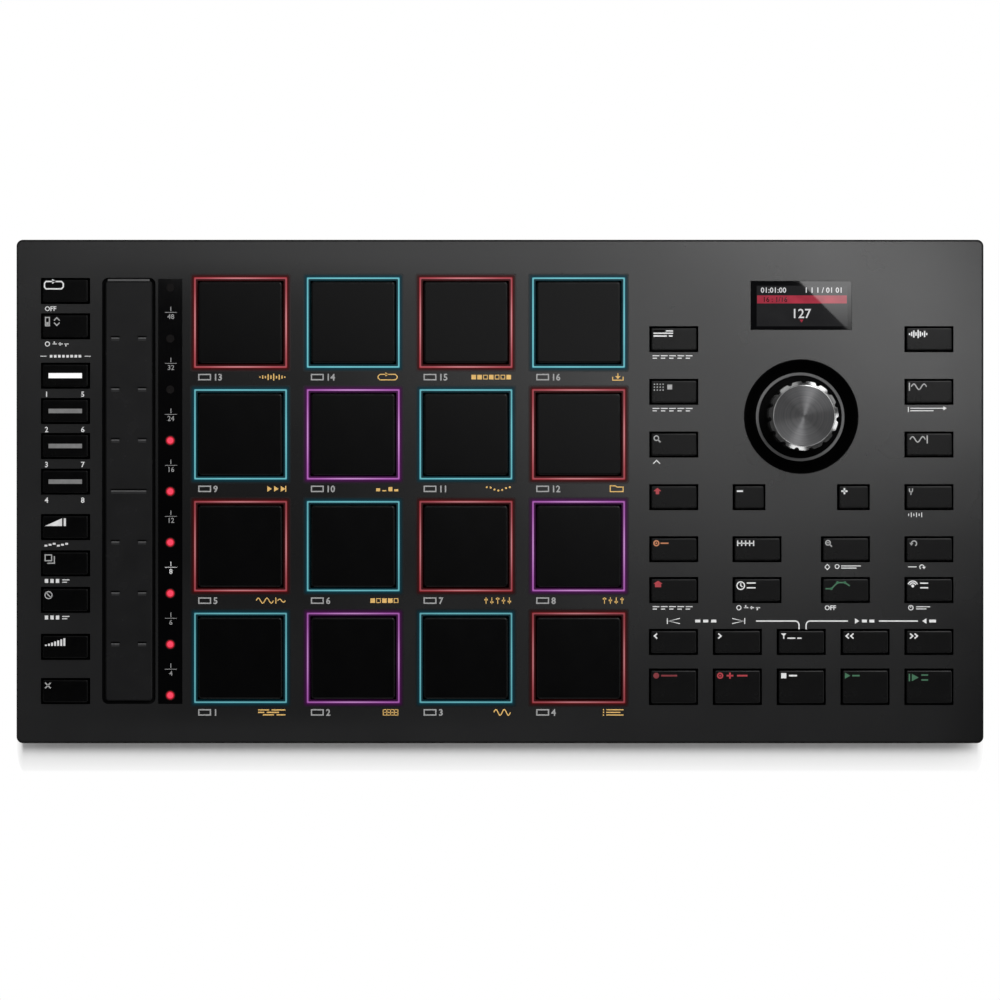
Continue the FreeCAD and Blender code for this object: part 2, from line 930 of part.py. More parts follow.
def main():
    os.makedirs("parts", exist_ok=True)
    makers = {
        "top_case": make_top_case,
        "bottom_case": make_bottom_case,
        "case_screws": make_case_screws,
        "rubber_feet": make_rubber_feet,
        "main_board": make_main_board,
        "key_switches": make_key_switches,
        "pad_light_frames": make_pad_light_frames,
        "pad_mat": make_pad_mat,
        "pad_sensor_board": make_pad_sensor_board,
        "board_lamps": make_board_lamps,
        "touch_strip": make_touch_strip,
        "strip_window": make_strip_window,
        "screen_lens": make_screen_lens,
        "display_module": make_display_module,
        "dial_well": make_dial_well,
        "knob": make_knob,
        "encoder_shaft": make_encoder_shaft,
        "encoder_body": make_encoder_body,
        "encoder_plunger": make_encoder_plunger,
        "usb_socket": make_usb_socket,
        "midi_jacks": make_midi_jacks,
    }
    for name, make in makers.items():
        write(name, make())
    for name, x, y, length, width in button_places():
        write(name, make_button(x, y, length, width))


main()
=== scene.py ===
"""Looks of the midi pad controller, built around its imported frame."""
from math import cos, exp, hypot, log, pi, radians, sin, sqrt

import bmesh
import bpy
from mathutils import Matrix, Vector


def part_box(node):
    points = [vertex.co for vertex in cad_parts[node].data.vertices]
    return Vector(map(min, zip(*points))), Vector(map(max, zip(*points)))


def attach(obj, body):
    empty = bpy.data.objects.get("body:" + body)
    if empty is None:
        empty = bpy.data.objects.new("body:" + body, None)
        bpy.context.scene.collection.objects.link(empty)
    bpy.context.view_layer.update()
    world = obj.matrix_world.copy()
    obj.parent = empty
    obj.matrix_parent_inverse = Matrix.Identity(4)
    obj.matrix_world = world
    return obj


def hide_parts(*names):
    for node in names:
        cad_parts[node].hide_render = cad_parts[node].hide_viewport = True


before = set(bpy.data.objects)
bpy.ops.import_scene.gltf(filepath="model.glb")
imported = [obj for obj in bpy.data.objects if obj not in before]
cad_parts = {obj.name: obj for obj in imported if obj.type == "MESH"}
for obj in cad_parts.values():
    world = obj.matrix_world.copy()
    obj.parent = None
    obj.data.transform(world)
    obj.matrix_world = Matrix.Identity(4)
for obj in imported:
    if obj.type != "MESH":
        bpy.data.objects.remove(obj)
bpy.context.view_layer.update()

MM = 0.001
scene = bpy.context.scene

# The panel and what lies on it, in millimetres
panel_top = 29.0
case_half_width = 157.5
case_half_depth = 82.0
pad_columns = (-84.5, -47.8, -11.1, 25.6)
pad_rows = (-54.2, -17.8, 18.6, 55.0)
frame_width = 31.3
frame_depth = 30.5
frame_corner = 0.8
core_corner = 0.3
frame_wall = 1.6
frame_top = 29.1
frame_foot = 25.5
flange_top = 26.5
flange_reach = 1.6
core_inset = 0.82
core_width = 0.46
flank_width = 0.15
spill_near = 0.35
spill_far = 0.8
pad_width = 27.3
pad_depth = 26.5
pad_corner = 1.1
pad_bevel = 0.5
pad_top = 31.5
web_top = 25.5
web_foot = 24.0
cap_margin = 1.3
cap_flange_top = 26.2
cap_flange_foot = 25.0
cap_shoulder = 29.85
cap_post = 1.2
cap_bevel = 0.35
cap_draft = 0.1
cap_corner = 0.55
ink_rise = 0.03
ink_sink = 0.02

# The dial
dial_x = 98.1
dial_y = 24.4
knob_foot = 23.6
knob_top = 46.0
knob_radius = 11.2
knob_face = 10.0
face_sink = 0.1
notch_count = 15
notch_radius = 0.8
notch_depth = 0.75
well_floor = 22.5
ring_outer = 14.55
ring_inner = 13.55
ring_top = 22.78

# The screen, the lamps and the strip
screen_x = 98.1
screen_y = 60.6
lamp_x = -107.4
lamp_pitch = 16.6
lamp_count = 9
lit_lamps = 6

# The range in which noise mostly lies, the base colour of lit finishes, and the signs' thin line in millimetres
noise_low = 0.3
noise_high = 0.7
unlit = 0.004
line = 0.28


def placed(name, data):
    """A new object in the scene."""
    made = bpy.data.objects.new(name, data)
    scene.collection.objects.link(made)
    return made


def inside(finish):
    """A material's node tree and its principled shader."""
    return finish.node_tree, finish.node_tree.nodes["Principled BSDF"]


def shader(name):
    """A new material with its node tree and its principled shader."""
    made = bpy.data.materials.new(name)
    made.use_nodes = True
    return made, *inside(made)


def connect(tree, made, inputs):
    """Sets a node's inputs to values or links them to outputs."""
    for key, value in inputs.items():
        if isinstance(value, bpy.types.NodeSocket):
            tree.links.new(value, made.inputs[key])
        else:
            made.inputs[key].default_value = value


def node(tree, kind, inputs=None, output=0, **settings):
    """Adds a node with its settings and inputs, and gives one of its outputs."""
    made = tree.nodes.new("ShaderNode" + kind)
    for key, value in settings.items():
        setattr(made, key, value)
    connect(tree, made, inputs or {})
    return made.outputs[output]


def calc(tree, operation, *values, clamp=False):
    """Reckons with values or outputs."""
    return node(tree, "Math", dict(enumerate(values)), operation=operation, use_clamp=clamp)


def places(tree, output="Object"):
    """The three parts of a place or a normal, by their letters."""
    coord = node(tree, "TexCoord", output=output)
    return node(tree, "SeparateXYZ", {"Vector": coord}).node.outputs


def source(bsdf, name):
    """What an input is linked to."""
    return bsdf.inputs[name].links[0].from_socket


def span(tree, value, low, high, start=0.0, end=1.0, clamp=True):
    """Takes a value from low and high to start and end."""
    ends = {"Value": value, "From Min": low, "From Max": high, "To Min": start, "To Max": end}
    return node(tree, "MapRange", ends, clamp=clamp)


def scaled(colour, share):
    """A share of a colour."""
    return tuple(share * c for c in colour)


def ramp(tree, value, stops):
    """Runs through stops, each a share and a colour or a level of grey."""
    made = node(tree, "ValToRGB", {"Fac": value})
    elements = made.node.color_ramp.elements
    elements[0].position, elements[1].position = stops[0][0], stops[-1][0]
    for share, colour in stops[1:-1]:
        elements.new(share)
    for element, (share, colour) in zip(elements, stops):
        element.color = (*colour, 1) if isinstance(colour, tuple) else (colour, colour, colour, 1)
    return made


def ramped(tree, value, stops):
    """Runs through stops, each a place in millimetres and a level."""
    low, high = stops[0][0], stops[-1][0]
    share = span(tree, value, low * MM, high * MM)
    return ramp(tree, share, [((place - low) / (high - low), level) for place, level in stops])


def noise(tree, size, detail=2.0):
    """Noise in the object's own coordinates with features of that size in millimetres."""
    coord = node(tree, "TexCoord", output="Object")
    return node(tree, "TexNoise", {"Vector": coord, "Scale": 1 / (size * MM), "Detail": detail})


def between(tree, cloud, low, high):
    """A number that runs from low to high with the noise."""
    return span(tree, cloud, noise_low, noise_high, low, high)


def tinted(tree, cloud, dark, light):
    """A colour that runs from dark to light with the noise."""
    return ramp(tree, cloud, ((noise_low, dark), (noise_high, light)))


def bumped(tree, cloud, depth, strength):
    """A bump of that depth in millimetres."""
    return node(tree, "Bump", {"Height": cloud, "Distance": depth * MM, "Strength": strength})


def shaded(tree, bsdf, kept):
    """Keeps that share of the colour."""
    colour = node(tree, "VectorMath", {0: source(bsdf, "Base Color"), "Scale": kept}, operation="SCALE")
    connect(tree, bsdf, {"Base Color": colour})


def paint_shade(tree, bsdf, across, along):
    """Paints shade: takes a share of the colour and the gloss away inside a field, given by its stops along X and along
    Y.
    """
    place = places(tree)
    field = calc(tree, "MULTIPLY", ramped(tree, place["X"], across), ramped(tree, place["Y"], along))
    kept = calc(tree, "SUBTRACT", 1.0, field)
    shaded(tree, bsdf, kept)
    connect(tree, bsdf, {"Specular IOR Level": calc(tree, "MULTIPLY", source(bsdf, "Specular IOR Level"), kept)})


def faded(tree, bsdf, output, axis, low, high, dull, shiny, shade=1.0):
    """Lets the gloss, and the colour from a share of it, run up along an axis of places or normals."""
    place = places(tree, output)[axis]
    connect(tree, bsdf, {"Specular IOR Level": span(tree, place, low, high, dull, shiny)})
    if shade < 1:
        shaded(tree, bsdf, span(tree, place, low, high, shade))


def surface(name, dark, light, rough, grain=0.3, depth=0.02, strength=0.3, mottle=8.0, specular=0.5, metallic=0.0,
            fade=None):
    """A moulded or metal finish: mottled colour or level of grey, and mottled gloss, over a fine grain."""
    made, tree, bsdf = shader(name)
    cloud = noise(tree, mottle, 4.0)
    connect(tree, bsdf, {
        "Base Color": tinted(tree, cloud, dark, light), "Roughness": between(tree, cloud, *rough),
        "Normal": bumped(tree, noise(tree, grain), depth, strength), "Specular IOR Level": specular,
        "Metallic": metallic})
    if fade:
        faded(tree, bsdf, *fade)
    return made


def glowing(name, dark, light, mottle=1.5, strength=1.0, specular=0.5, rough=0.3, fade=None):
    """A lit or printed finish whose colour barely depends on the room's light."""
    made, tree, bsdf = shader(name)
    connect(tree, bsdf, {
        "Base Color": (unlit, unlit, unlit, 1), "Roughness": rough, "Specular IOR Level": specular,
        "Emission Strength": strength, "Emission Color": tinted(tree, noise(tree, mottle), dark, light)})
    if fade:
        faded(tree, bsdf, *fade)
    return made


def printed(name, colour):
    """Screen-printed ink, slightly uneven."""
    return surface(
        name, scaled(colour, 0.85), colour, (0.45, 0.6), grain=0.15, depth=0.01, strength=0.2, mottle=0.8, specular=0.2)


# Gloss that dies away down in the gaps, as painted shade there; gloss and colour that die away on the sides; and gloss
# that dies away towards the front of the lens
shade_in_gaps = ("Object", "Z", 27.5 * MM, 29.0 * MM, 0.0)
on_sides = ("Normal", "Z", 0.8, 0.98, 0.06, 0.5, 0.15)
panel_dark = (0.0124, 0.0125, 0.0129)
panel_light = (0.0139, 0.014, 0.0144)
panel_rough = (0.185, 0.203)
panel_grain = {"grain": 0.22, "depth": 0.005, "strength": 0.2}
lens_fade = ("Object", "Y", 53.0 * MM, 68.0 * MM, 0.08, 0.29)
lens_rough = 0.012

panel_plastic = surface("case_moulded", panel_dark, panel_light, panel_rough, mottle=25.0, fade=on_sides, **panel_grain)
# Painted shade: the panel is darker between the pads, most of all at the left, at its front right, and a little at its
# rear right
for across, along in (
        (((-150, 0.0), (-131, 0.2), (-104, 0.46), (-64, 0.45), (-30, 0.32), (7, 0.2), (41, 0.0)),
         ((-78, 0.0), (-72, 0.5), (-45, 0.5), (-22, 1.0), (60, 1.0), (68, 0.75), (76, 0.25))),
        (((-20, 0.0), (60, 0.2), (110, 0.25), (139, 0.25), (150, 0.4), (158, 0.5)),
         ((-82, 1.0), (-60, 1.0), (-20, 0.5), (20, 0.0))),
        (((40, 0.0), (100, 0.13), (135, 0.14), (158, 0.2)), ((-10, 0.0), (30, 0.55), (60, 1.0), (82, 0.85)))):
    paint_shade(*inside(panel_plastic), across, along)
# The buttons on the left get a copy with less gloss, painted shade there
button_plastic, left_button_shaded_plastic = (
    surface(name, (0.0004, 0.0004, 0.0005), (0.0007, 0.0007, 0.0008), (0.24, 0.28), grain=0.2, depth=0.004,
            strength=0.2, mottle=5.0, fade=(*shade_in_gaps, gloss))
    for name, gloss in (("button_moulded", 0.17), ("side_button_moulded", 0.09)))
pad_silicone = surface(
    "pad_silicone", (0.0007, 0.0007, 0.0008), (0.001, 0.001, 0.0011), (0.185, 0.205), depth=0.003, strength=0.2,
    mottle=9.0, specular=0.128)
web_silicone = surface(
    "web_silicone", (0.0008, 0.0008, 0.0009), (0.0014, 0.0014, 0.0015), (0.6, 0.7), grain=0.4, mottle=9.0,
    specular=0.02)
board_resin = surface(
    "board_resin", (0.008, 0.05, 0.022), (0.014, 0.075, 0.035), (0.35, 0.5), grain=0.5, strength=0.4, mottle=4.0)
switch_plastic = surface("switch_moulded", (0.04, 0.04, 0.042), (0.065, 0.065, 0.068), (0.5, 0.6), mottle=2.0)

CAD_FINISHES = {
    "top_case": panel_plastic,
    "bottom_case": surface(
        "base_moulded", (0.009, 0.009, 0.0095), (0.013, 0.013, 0.0135), (0.38, 0.48), grain=0.35, depth=0.015,
        strength=0.4, mottle=20.0, specular=0.3),
    "case_screws": surface(
        "screw_blackened", (0.06, 0.06, 0.065), (0.12, 0.12, 0.13), (0.3, 0.5), grain=0.15, mottle=1.0, metallic=1.0),
    "rubber_feet": surface(
        "foot_rubber", 0.01, 0.018, (0.7, 0.85), grain=0.5, depth=0.05, strength=0.5, mottle=3.0, specular=0.3),
    "main_board": board_resin,
    "pad_sensor_board": board_resin,
    "key_switches": switch_plastic,
    "encoder_plunger": switch_plastic,
    "board_lamps": surface("lamp_resin", (0.6, 0.58, 0.5), (0.75, 0.73, 0.65), (0.2, 0.35), mottle=1.0),
    "touch_strip": surface(
        "strip_moulded", (0.0085, 0.0085, 0.0089), (0.0096, 0.0096, 0.01), (0.24, 0.28), grain=0.25, depth=0.005,
        strength=0.25, fade=(*shade_in_gaps, 0.17)),
    "strip_window": surface(
        "smoked_window", (0.0008, 0.0008, 0.001), (0.0012, 0.0012, 0.0014), (0.05, 0.08), grain=6.0, depth=0.002,
        strength=0.1, mottle=15.0, fade=("Object", "Y", 0.0, 70 * MM, 0.12, 0.55)),
    "screen_lens": surface(
        "smoked_lens", (0.0022, 0.0022, 0.0026), (0.003, 0.003, 0.0034), (lens_rough, lens_rough + 0.004), grain=8.0,
        depth=0.001, strength=0.05, mottle=15.0, fade=lens_fade),
    "display_module": surface("display_glass", (0.006, 0.006, 0.008), (0.009, 0.009, 0.011), (0.05, 0.09), mottle=10.0),
    "dial_well": surface(
        "well_moulded", (0.0008, 0.0008, 0.0009), (0.0013, 0.0013, 0.0014), (0.34, 0.42), grain=0.25, depth=0.004,
        strength=0.25, mottle=6.0, specular=0.02),
    "encoder_shaft": surface(
        "shaft_steel", (0.5, 0.5, 0.51), (0.62, 0.62, 0.63), (0.25, 0.4), mottle=2.0, metallic=1.0),
    "encoder_body": surface("encoder_metal", 0.5, 0.65, (0.3, 0.45), grain=0.2, mottle=3.0, metallic=1.0),
    "usb_socket": surface("socket_tinned", (0.5, 0.5, 0.52), (0.68, 0.68, 0.7), (0.22, 0.4), mottle=3.0, metallic=1.0),
    "midi_jacks": surface("socket_moulded", 0.012, 0.02, (0.4, 0.5), grain=0.2, mottle=3.0),
}
for name, finish in CAD_FINISHES.items():
    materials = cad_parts[name].data.materials
    materials.clear()
    materials.append(finish)

# Lit frames: a core that is pale at the middle of each side, between deeper edges, and all weaker toward the front
front_glow = 0.76
core_stops = ((0, 0.0), (2.6, 0.08), (7.8, 0.6), (10.4, 0.87), (13.7, 1.0))
LINE_COLOURS = {
    "red": ((0.55, 0.195, 0.215), (0.62, 0.235, 0.26), (0.25, 0.004, 0.005), (0.036, 0.0006, 0.0012),
            (0.64, 0.32, 0.37)),
    "cyan": ((0.163, 0.52, 0.575), (0.185, 0.59, 0.65), (0.002, 0.1, 0.15), (0.0006, 0.025, 0.036), (0.85, 0.89, 0.9)),
    "magenta": ((0.59, 0.275, 0.63), (0.67, 0.32, 0.71), (0.16, 0.01, 0.18), (0.042, 0.0023, 0.046),
                (0.71, 0.44, 0.72)),
}


def deepened(tree, bsdf, corner):
    """Takes the lit colour to a share of itself, by channel, from the middle of each side to the corners."""
    place = places(tree)
    across, along = (calc(tree, "ABSOLUTE", place[axis]) for axis in "XY")
    connect(tree, bsdf, {"Emission Color": node(tree, "MixRGB", {
        "Fac": ramped(tree, calc(tree, "MINIMUM", across, along), core_stops),
        "Color1": source(bsdf, "Emission Color"), "Color2": (*corner, 1)}, blend_type="MULTIPLY")})


def line_finishes(colour, row):
    """A lit colour in a row from the front: core, flank, edge, and the faint spill near and further off, a painted glow
    of the lit colour over painted shade on the panel.
    """
    dark, light, flank, edge, corner = LINE_COLOURS[colour]
    lit = {"mottle": 12.0, "strength": front_glow + (1 - front_glow) * row / 3, "specular": 0.1}
    made = [glowing(f"line_core_{colour}_{row}", dark, light, **lit)]
    deepened(*inside(made[0]), corner)
    for part, tint in (("flank", flank), ("edge", edge)):
        made.append(glowing(f"line_{part}_{colour}_{row}", tint, scaled(tint, 1.2), **lit))
    # Painted shade and painted light: the panel's colour darkened beside the frame, with a painted spill of the lit
    # colour
    for part, share, shade, gloss in (("near", 0.7, 0.35, 0.15), ("far", 0.16, 0.62, 0.3)):
        made.append(surface(f"line_{part}_{colour}_{row}", scaled(panel_dark, shade), scaled(panel_light, shade),
                            panel_rough, specular=gloss, **panel_grain))
        connect(*inside(made[-1]), {"Emission Color": (*edge, 1), "Emission Strength": share * lit["strength"]})
    return made


frame_finishes = {(colour, row): line_finishes(colour, row) for colour in LINE_COLOURS for row in range(4)}
guide_plastic = surface(
    "guide_clear", (0.02, 0.021, 0.022), (0.03, 0.031, 0.032), (0.25, 0.35), mottle=6.0, specular=0.05)

white_ink = printed("ink_white", (0.76, 0.76, 0.76))
step_ink = printed("ink_soft", (0.3, 0.3, 0.3))
grey_ink = printed("ink_grey", (0.38, 0.38, 0.38))
yellow_ink = printed("ink_yellow", (0.8, 0.5, 0.16))
bright_ink = glowing("ink_lit_white", 0.55, 0.72)
bar_white = glowing("bar_lit_white", 0.97, 1.0)
bar_grey = glowing("bar_grey", 0.15, 0.19)
red_ink = glowing("ink_lit_red", (0.32, 0.022, 0.032), (0.42, 0.036, 0.048))
dim_red_ink = glowing("ink_dim_red", (0.16, 0.014, 0.02), (0.21, 0.022, 0.03))
orange_ink = glowing("ink_lit_orange", (0.42, 0.15, 0.06), (0.52, 0.2, 0.09))
green_ink = glowing("ink_lit_green", (0.028, 0.11, 0.055), (0.042, 0.15, 0.078))
dark_ink = surface(
    "ink_dark", (0.02, 0.001, 0.002), (0.03, 0.002, 0.003), (lens_rough, 0.02), mottle=2.0, fade=lens_fade)
lamp_red = glowing("lamp_lit_red", (0.93, 0.055, 0.115), (1.0, 0.07, 0.135), specular=0.1)
rim_red = glowing("lamp_rim_red", (0.42, 0.008, 0.018), (0.5, 0.012, 0.025), specular=0.1)
halo_red = glowing("lamp_halo_red", (0.014, 0.0006, 0.0008), (0.018, 0.0008, 0.001), specular=0.1)
lamp_off = surface("lamp_unlit", (0.006, 0.0055, 0.0055), (0.009, 0.008, 0.008), (0.3, 0.4), mottle=1.0, specular=0.03)
bar_red, screen_white, screen_field = (
    glowing(name, dark, light, mottle, rough=lens_rough, fade=lens_fade) for name, dark, light, mottle in (
        ("screen_red", (0.3, 0.025, 0.045), (0.4, 0.035, 0.06), 4.0),
        ("screen_white", (0.6, 0.6, 0.61), (0.72, 0.72, 0.73), 2.0),
        ("screen_field", (0.011, 0.011, 0.012), (0.014, 0.014, 0.015), 6.0)))


def piece(name, verts, faces, body, slot, materials, angle=35, slots=None, at=(0, 0)):
    """A closed mesh from millimetres, its origin over the point at, riding on that body."""
    mesh = bpy.data.meshes.new(name)
    mesh.from_pydata([((x - at[0]) * MM, (y - at[1]) * MM, z * MM) for x, y, z in verts], [], faces)
    for finish in materials:
        mesh.materials.append(finish)
    if slots:
        mesh.polygons.foreach_set("material_index", slots)
    work = bmesh.new()
    work.from_mesh(mesh)
    bmesh.ops.recalc_face_normals(work, faces=work.faces)
    work.to_mesh(mesh)
    work.free()
    mesh.polygons.foreach_set("use_smooth", [True] * len(mesh.polygons))
    mesh.set_sharp_from_angle(angle=radians(angle))
    made = placed(name, mesh)
    made.location = (at[0] * MM, at[1] * MM, 0)
    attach(made, body)
    return made


def rounded(width, depth, radius, z, at=(0, 0), steps=4):
    """A level loop round a rectangle with rounded corners."""
    radius = max(radius, 0.05)
    loop = []
    for quarter, (side_x, side_y) in enumerate(((1, 1), (-1, 1), (-1, -1), (1, -1))):
        for k in range(steps + 1):
            angle = radians(90 * quarter + 90 * k / steps)
            loop.append((at[0] + side_x * (width / 2 - radius) + radius * cos(angle),
                         at[1] + side_y * (depth / 2 - radius) + radius * sin(angle), z))
    return loop


def loft(loops, closed=False):
    """A skin over loops of equal length, capped at both ends unless it closes on itself."""
    count = len(loops[0])
    verts = sum(loops, [])
    faces = []
    for k in range(len(loops) if closed else len(loops) - 1):
        low = k * count
        high = (k + 1) % len(loops) * count
        for i in range(count):
            j = (i + 1) % count
            faces.append((low + i, low + j, high + j, high + i))
    if not closed:
        faces.append(tuple(reversed(range(count))))
        faces.append(tuple(range(len(verts) - count, len(verts))))
    return verts, faces


def circle(radius, z, count):
    """A level loop about the dial's axis."""
    turns = [2 * pi * k / count for k in range(count)]
    return [(dial_x + radius * cos(a), dial_y + radius * sin(a), z) for a in turns]


def extent(name):
    """A node's middle, width, depth, foot and top in millimetres."""
    low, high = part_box(name)
    at = ((high.x + low.x) / 2 / MM, (high.y + low.y) / 2 / MM)
    return at, (high.x - low.x) / MM, (high.y - low.y) / MM, low.z / MM, high.z / MM


class Ink:
    """Thin closed marks of one colour on one body, drawn in millimetres."""

    def __init__(self, name, slot, finish, top=panel_top, body="case"):
        self.name, self.body, self.slot, self.finish, self.top = name, body, slot, finish, top
        self.verts, self.faces = [], []
        self.origin = (0.0, 0.0)
        self.bold = 1.0

    def prism(self, points, faces, sides):
        """A slab over a flat mesh: its faces above and below, and a wall along each side."""
        start = len(self.verts)
        count = len(points)
        for z in (self.top + ink_rise, self.top - ink_sink):
            self.verts += [(self.origin[0] + x, self.origin[1] + y, z) for x, y in points]
        for face in faces:
            self.faces.append([start + i for i in face])
            self.faces.append([start + count + i for i in reversed(face)])
        for i, j in sides:
            self.faces.append((start + j, start + i, start + count + i, start + count + j))

    def fill(self, points):
        """A filled outline."""
        count = len(points)
        self.prism(points, [tuple(range(count))], [(i, (i + 1) % count) for i in range(count)])

    def box(self, x, y, width, height):
        """A filled rectangle about its centre."""
        a, b = width / 2, height / 2
        if min(a, b) < 0.25:
            a, b = (a * self.bold, b) if a < b else (a, b * self.bold)
        self.fill([(x - a, y - b), (x + a, y - b), (x + a, y + b), (x - a, y + b)])

    def row(self, count, across, up, x, y, width, height):
        """Equal boxes, the first about x and y and each set off from the last."""
        for k in range(count):
            self.box(x + across * k, y + up * k, width, height)

    def point(self, x, y, back, half, upright=False):
        """A triangle with its tip at x and y, and its base behind it along X or along Y."""
        corners = ((0, 0), (-back, half), (-back, -half))
        self.fill([(x + b, y + a) if upright else (x + a, y + b) for a, b in corners])

    def stroke(self, points, width=line, closed=False):
        """A line of that width with mitred corners."""
        count = len(points)
        normals = []
        for (x, y), (next_x, next_y) in zip(points, points[1:] + points[:1]):
            length = hypot(next_x - x, next_y - y)
            normals.append(((y - next_y) / length, (next_x - x) / length))
        left, right = [], []
        for i, (x, y) in enumerate(points):
            beside = [normals[k] for k in (i - 1, i) if closed or 0 <= k < count - 1]
            nx, ny = (sum(parts) / len(beside) for parts in zip(*beside))
            reach = self.bold * width / 2 / max(nx * nx + ny * ny, 0.3)
            left.append((x + nx * reach, y + ny * reach))
            right.append((x - nx * reach, y - ny * reach))
        faces, sides = [], []
        for i in range(count if closed else count - 1):
            j = (i + 1) % count
            faces.append((count + i, count + j, j, i))
            sides += [(j, i), (count + i, count + j)]
        if not closed:
            sides += [(0, count), (2 * count - 1, count - 1)]
        self.prism(left + right, faces, sides)

    def outline(self, left, low, right, high, width=line):
        """The outline of a rectangle."""
        self.stroke([(left, low), (right, low), (right, high), (left, high)], width, True)

    def arc(self, x, y, radius, width=line, start=0, end=360, steps=16):
        """A ring, or the part of one between two angles in degrees."""
        closed = end - start >= 360
        last = steps if closed else steps + 1
        angles = [radians(start + (end - start) * k / steps) for k in range(last)]
        self.stroke([(x + radius * cos(a), y + radius * sin(a)) for a in angles], width, closed)

    def disc(self, x, y, radius, steps=20):
        """A filled circle."""
        angles = [2 * pi * k / steps for k in range(steps)]
        self.fill([(x + radius * cos(a), y + radius * sin(a)) for a in angles])

    def text(self, words, x, y, height, align="LEFT", weight=0.04):
        """Plain figures and signs, y at their middle."""
        curve = bpy.data.curves.new("figures", "FONT")
        curve.body = words
        curve.size = height / 0.7
        curve.offset = weight
        curve.resolution_u = 2
        curve.align_x = align
        holder = placed("figures", curve)
        bpy.context.view_layer.update()
        mesh = bpy.data.meshes.new_from_object(holder.evaluated_get(bpy.context.evaluated_depsgraph_get()))
        bpy.data.objects.remove(holder)
        work = bmesh.new()
        work.from_mesh(mesh)
        bpy.data.meshes.remove(mesh)
        bmesh.ops.remove_doubles(work, verts=work.verts, dist=1e-4)
        work.verts.index_update()
        points = [(x + v.co.x, y + v.co.y - height / 2) for v in work.verts]
        faces = [tuple(v.index for v in face.verts) for face in work.faces]
        sides = [tuple(v.index for v in edge.verts) for edge in work.edges if len(edge.link_faces) == 1]
        work.free()
        self.prism(points, faces, sides)

    def draw(self, marks):
        """A list of marks, each the name of a way to draw and its values, or a box's values alone."""
        for mark in marks:
            kind, *values = mark if isinstance(mark[0], str) else ("box", *mark)
            getattr(self, kind)(*values)

    def done(self):
        """The marks as one piece."""
        return piece(self.name, self.verts, self.faces, self.body, self.slot, [self.finish], angle=30)


def make_frame(number, at, colour):
    """The light guide round one pad: a sheet under the panel, a lit wall with a pale core, and a thin lip that carries
    painted shade and a painted spill of the light on the panel.
    """
    core_out = core_width / 2 - core_inset
    core_in = core_out - core_width
    lip_foot = panel_top + 0.01
    lip_top = lip_foot + 0.02
    clear, core, flank, edge, near, far = range(6)
    outside = (
        (flange_reach, frame_foot, clear), (flange_reach, flange_top, clear), (0, flange_top, clear),
        (0, lip_foot, clear), (spill_far, lip_foot, far), (spill_far, lip_top, far), (spill_near, lip_top, near),
        (0, lip_top, edge), (-0.03, frame_top, edge))
    inside_core = (
        (core_out + flank_width, frame_top, flank), (core_out, frame_top, core), (core_in, frame_top, edge),
        (0.05 - frame_wall, frame_top, edge), (-frame_wall, frame_top - 0.06, clear), (-frame_wall, frame_foot, clear))
    profile = [(*place, frame_corner) for place in outside] + [(*place, core_corner) for place in inside_core]
    loops = [rounded(frame_width + 2 * reach, frame_depth + 2 * reach, corner, z, at)
             for reach, z, kind, corner in profile]
    verts, faces = loft(loops, closed=True)
    slots = [kind for reach, z, kind, corner in profile for side in loops[0]]
    finishes = [guide_plastic, *frame_finishes[colour, (number - 1) // 4]]
    return piece(f"pad_frame_{number}", verts, faces, "case", "light_guide", finishes, 40, slots, at)


def make_pad(number, at):
    """One soft pad: upright sides, a small rounded shoulder and a flat face."""
    steps = [(0, web_top - 0.3)]
    for turn in (0, 25, 50, 70, 90):
        angle = radians(turn)
        steps.append((pad_bevel * (1 - cos(angle)), pad_top - pad_bevel * (1 - sin(angle))))
    steps.append((pad_bevel + 0.15, pad_top))
    verts, faces = loft([rounded(pad_width - 2 * inset, pad_depth - 2 * inset, pad_corner - inset, z, at, 5)
                         for inset, z in steps])
    made = piece(f"pad_{number}", verts, faces, "case", "pad_rubber", [pad_silicone], 50, None, at)
    return made


# From the front left, row by row
FRAME_COLOURS = "cyan magenta cyan red red cyan red magenta cyan magenta cyan red red cyan red cyan".split()
pad_places = [(4 * row + column + 1, x, y) for row, y in enumerate(pad_rows) for column, x in enumerate(pad_columns)]
for (number, x, y), colour in zip(pad_places, FRAME_COLOURS):
    make_frame(number, (x, y), colour)
    make_pad(number, (x, y))
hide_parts("pad_light_frames")

# The sheet that joins the pads under the light guides
web_corner = 2.0
web_bevel = 0.1
at, width, depth, foot, top = extent("pad_mat")
web_loops = [rounded(width - 2 * inset, depth - 2 * inset, web_corner - inset, z, at) for inset, z in (
    (0, web_foot), (0, web_top - web_bevel), (web_bevel, web_top))]
web = piece("pad_web", *loft(web_loops), "case", "pad_rubber", [web_silicone])
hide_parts("pad_mat")


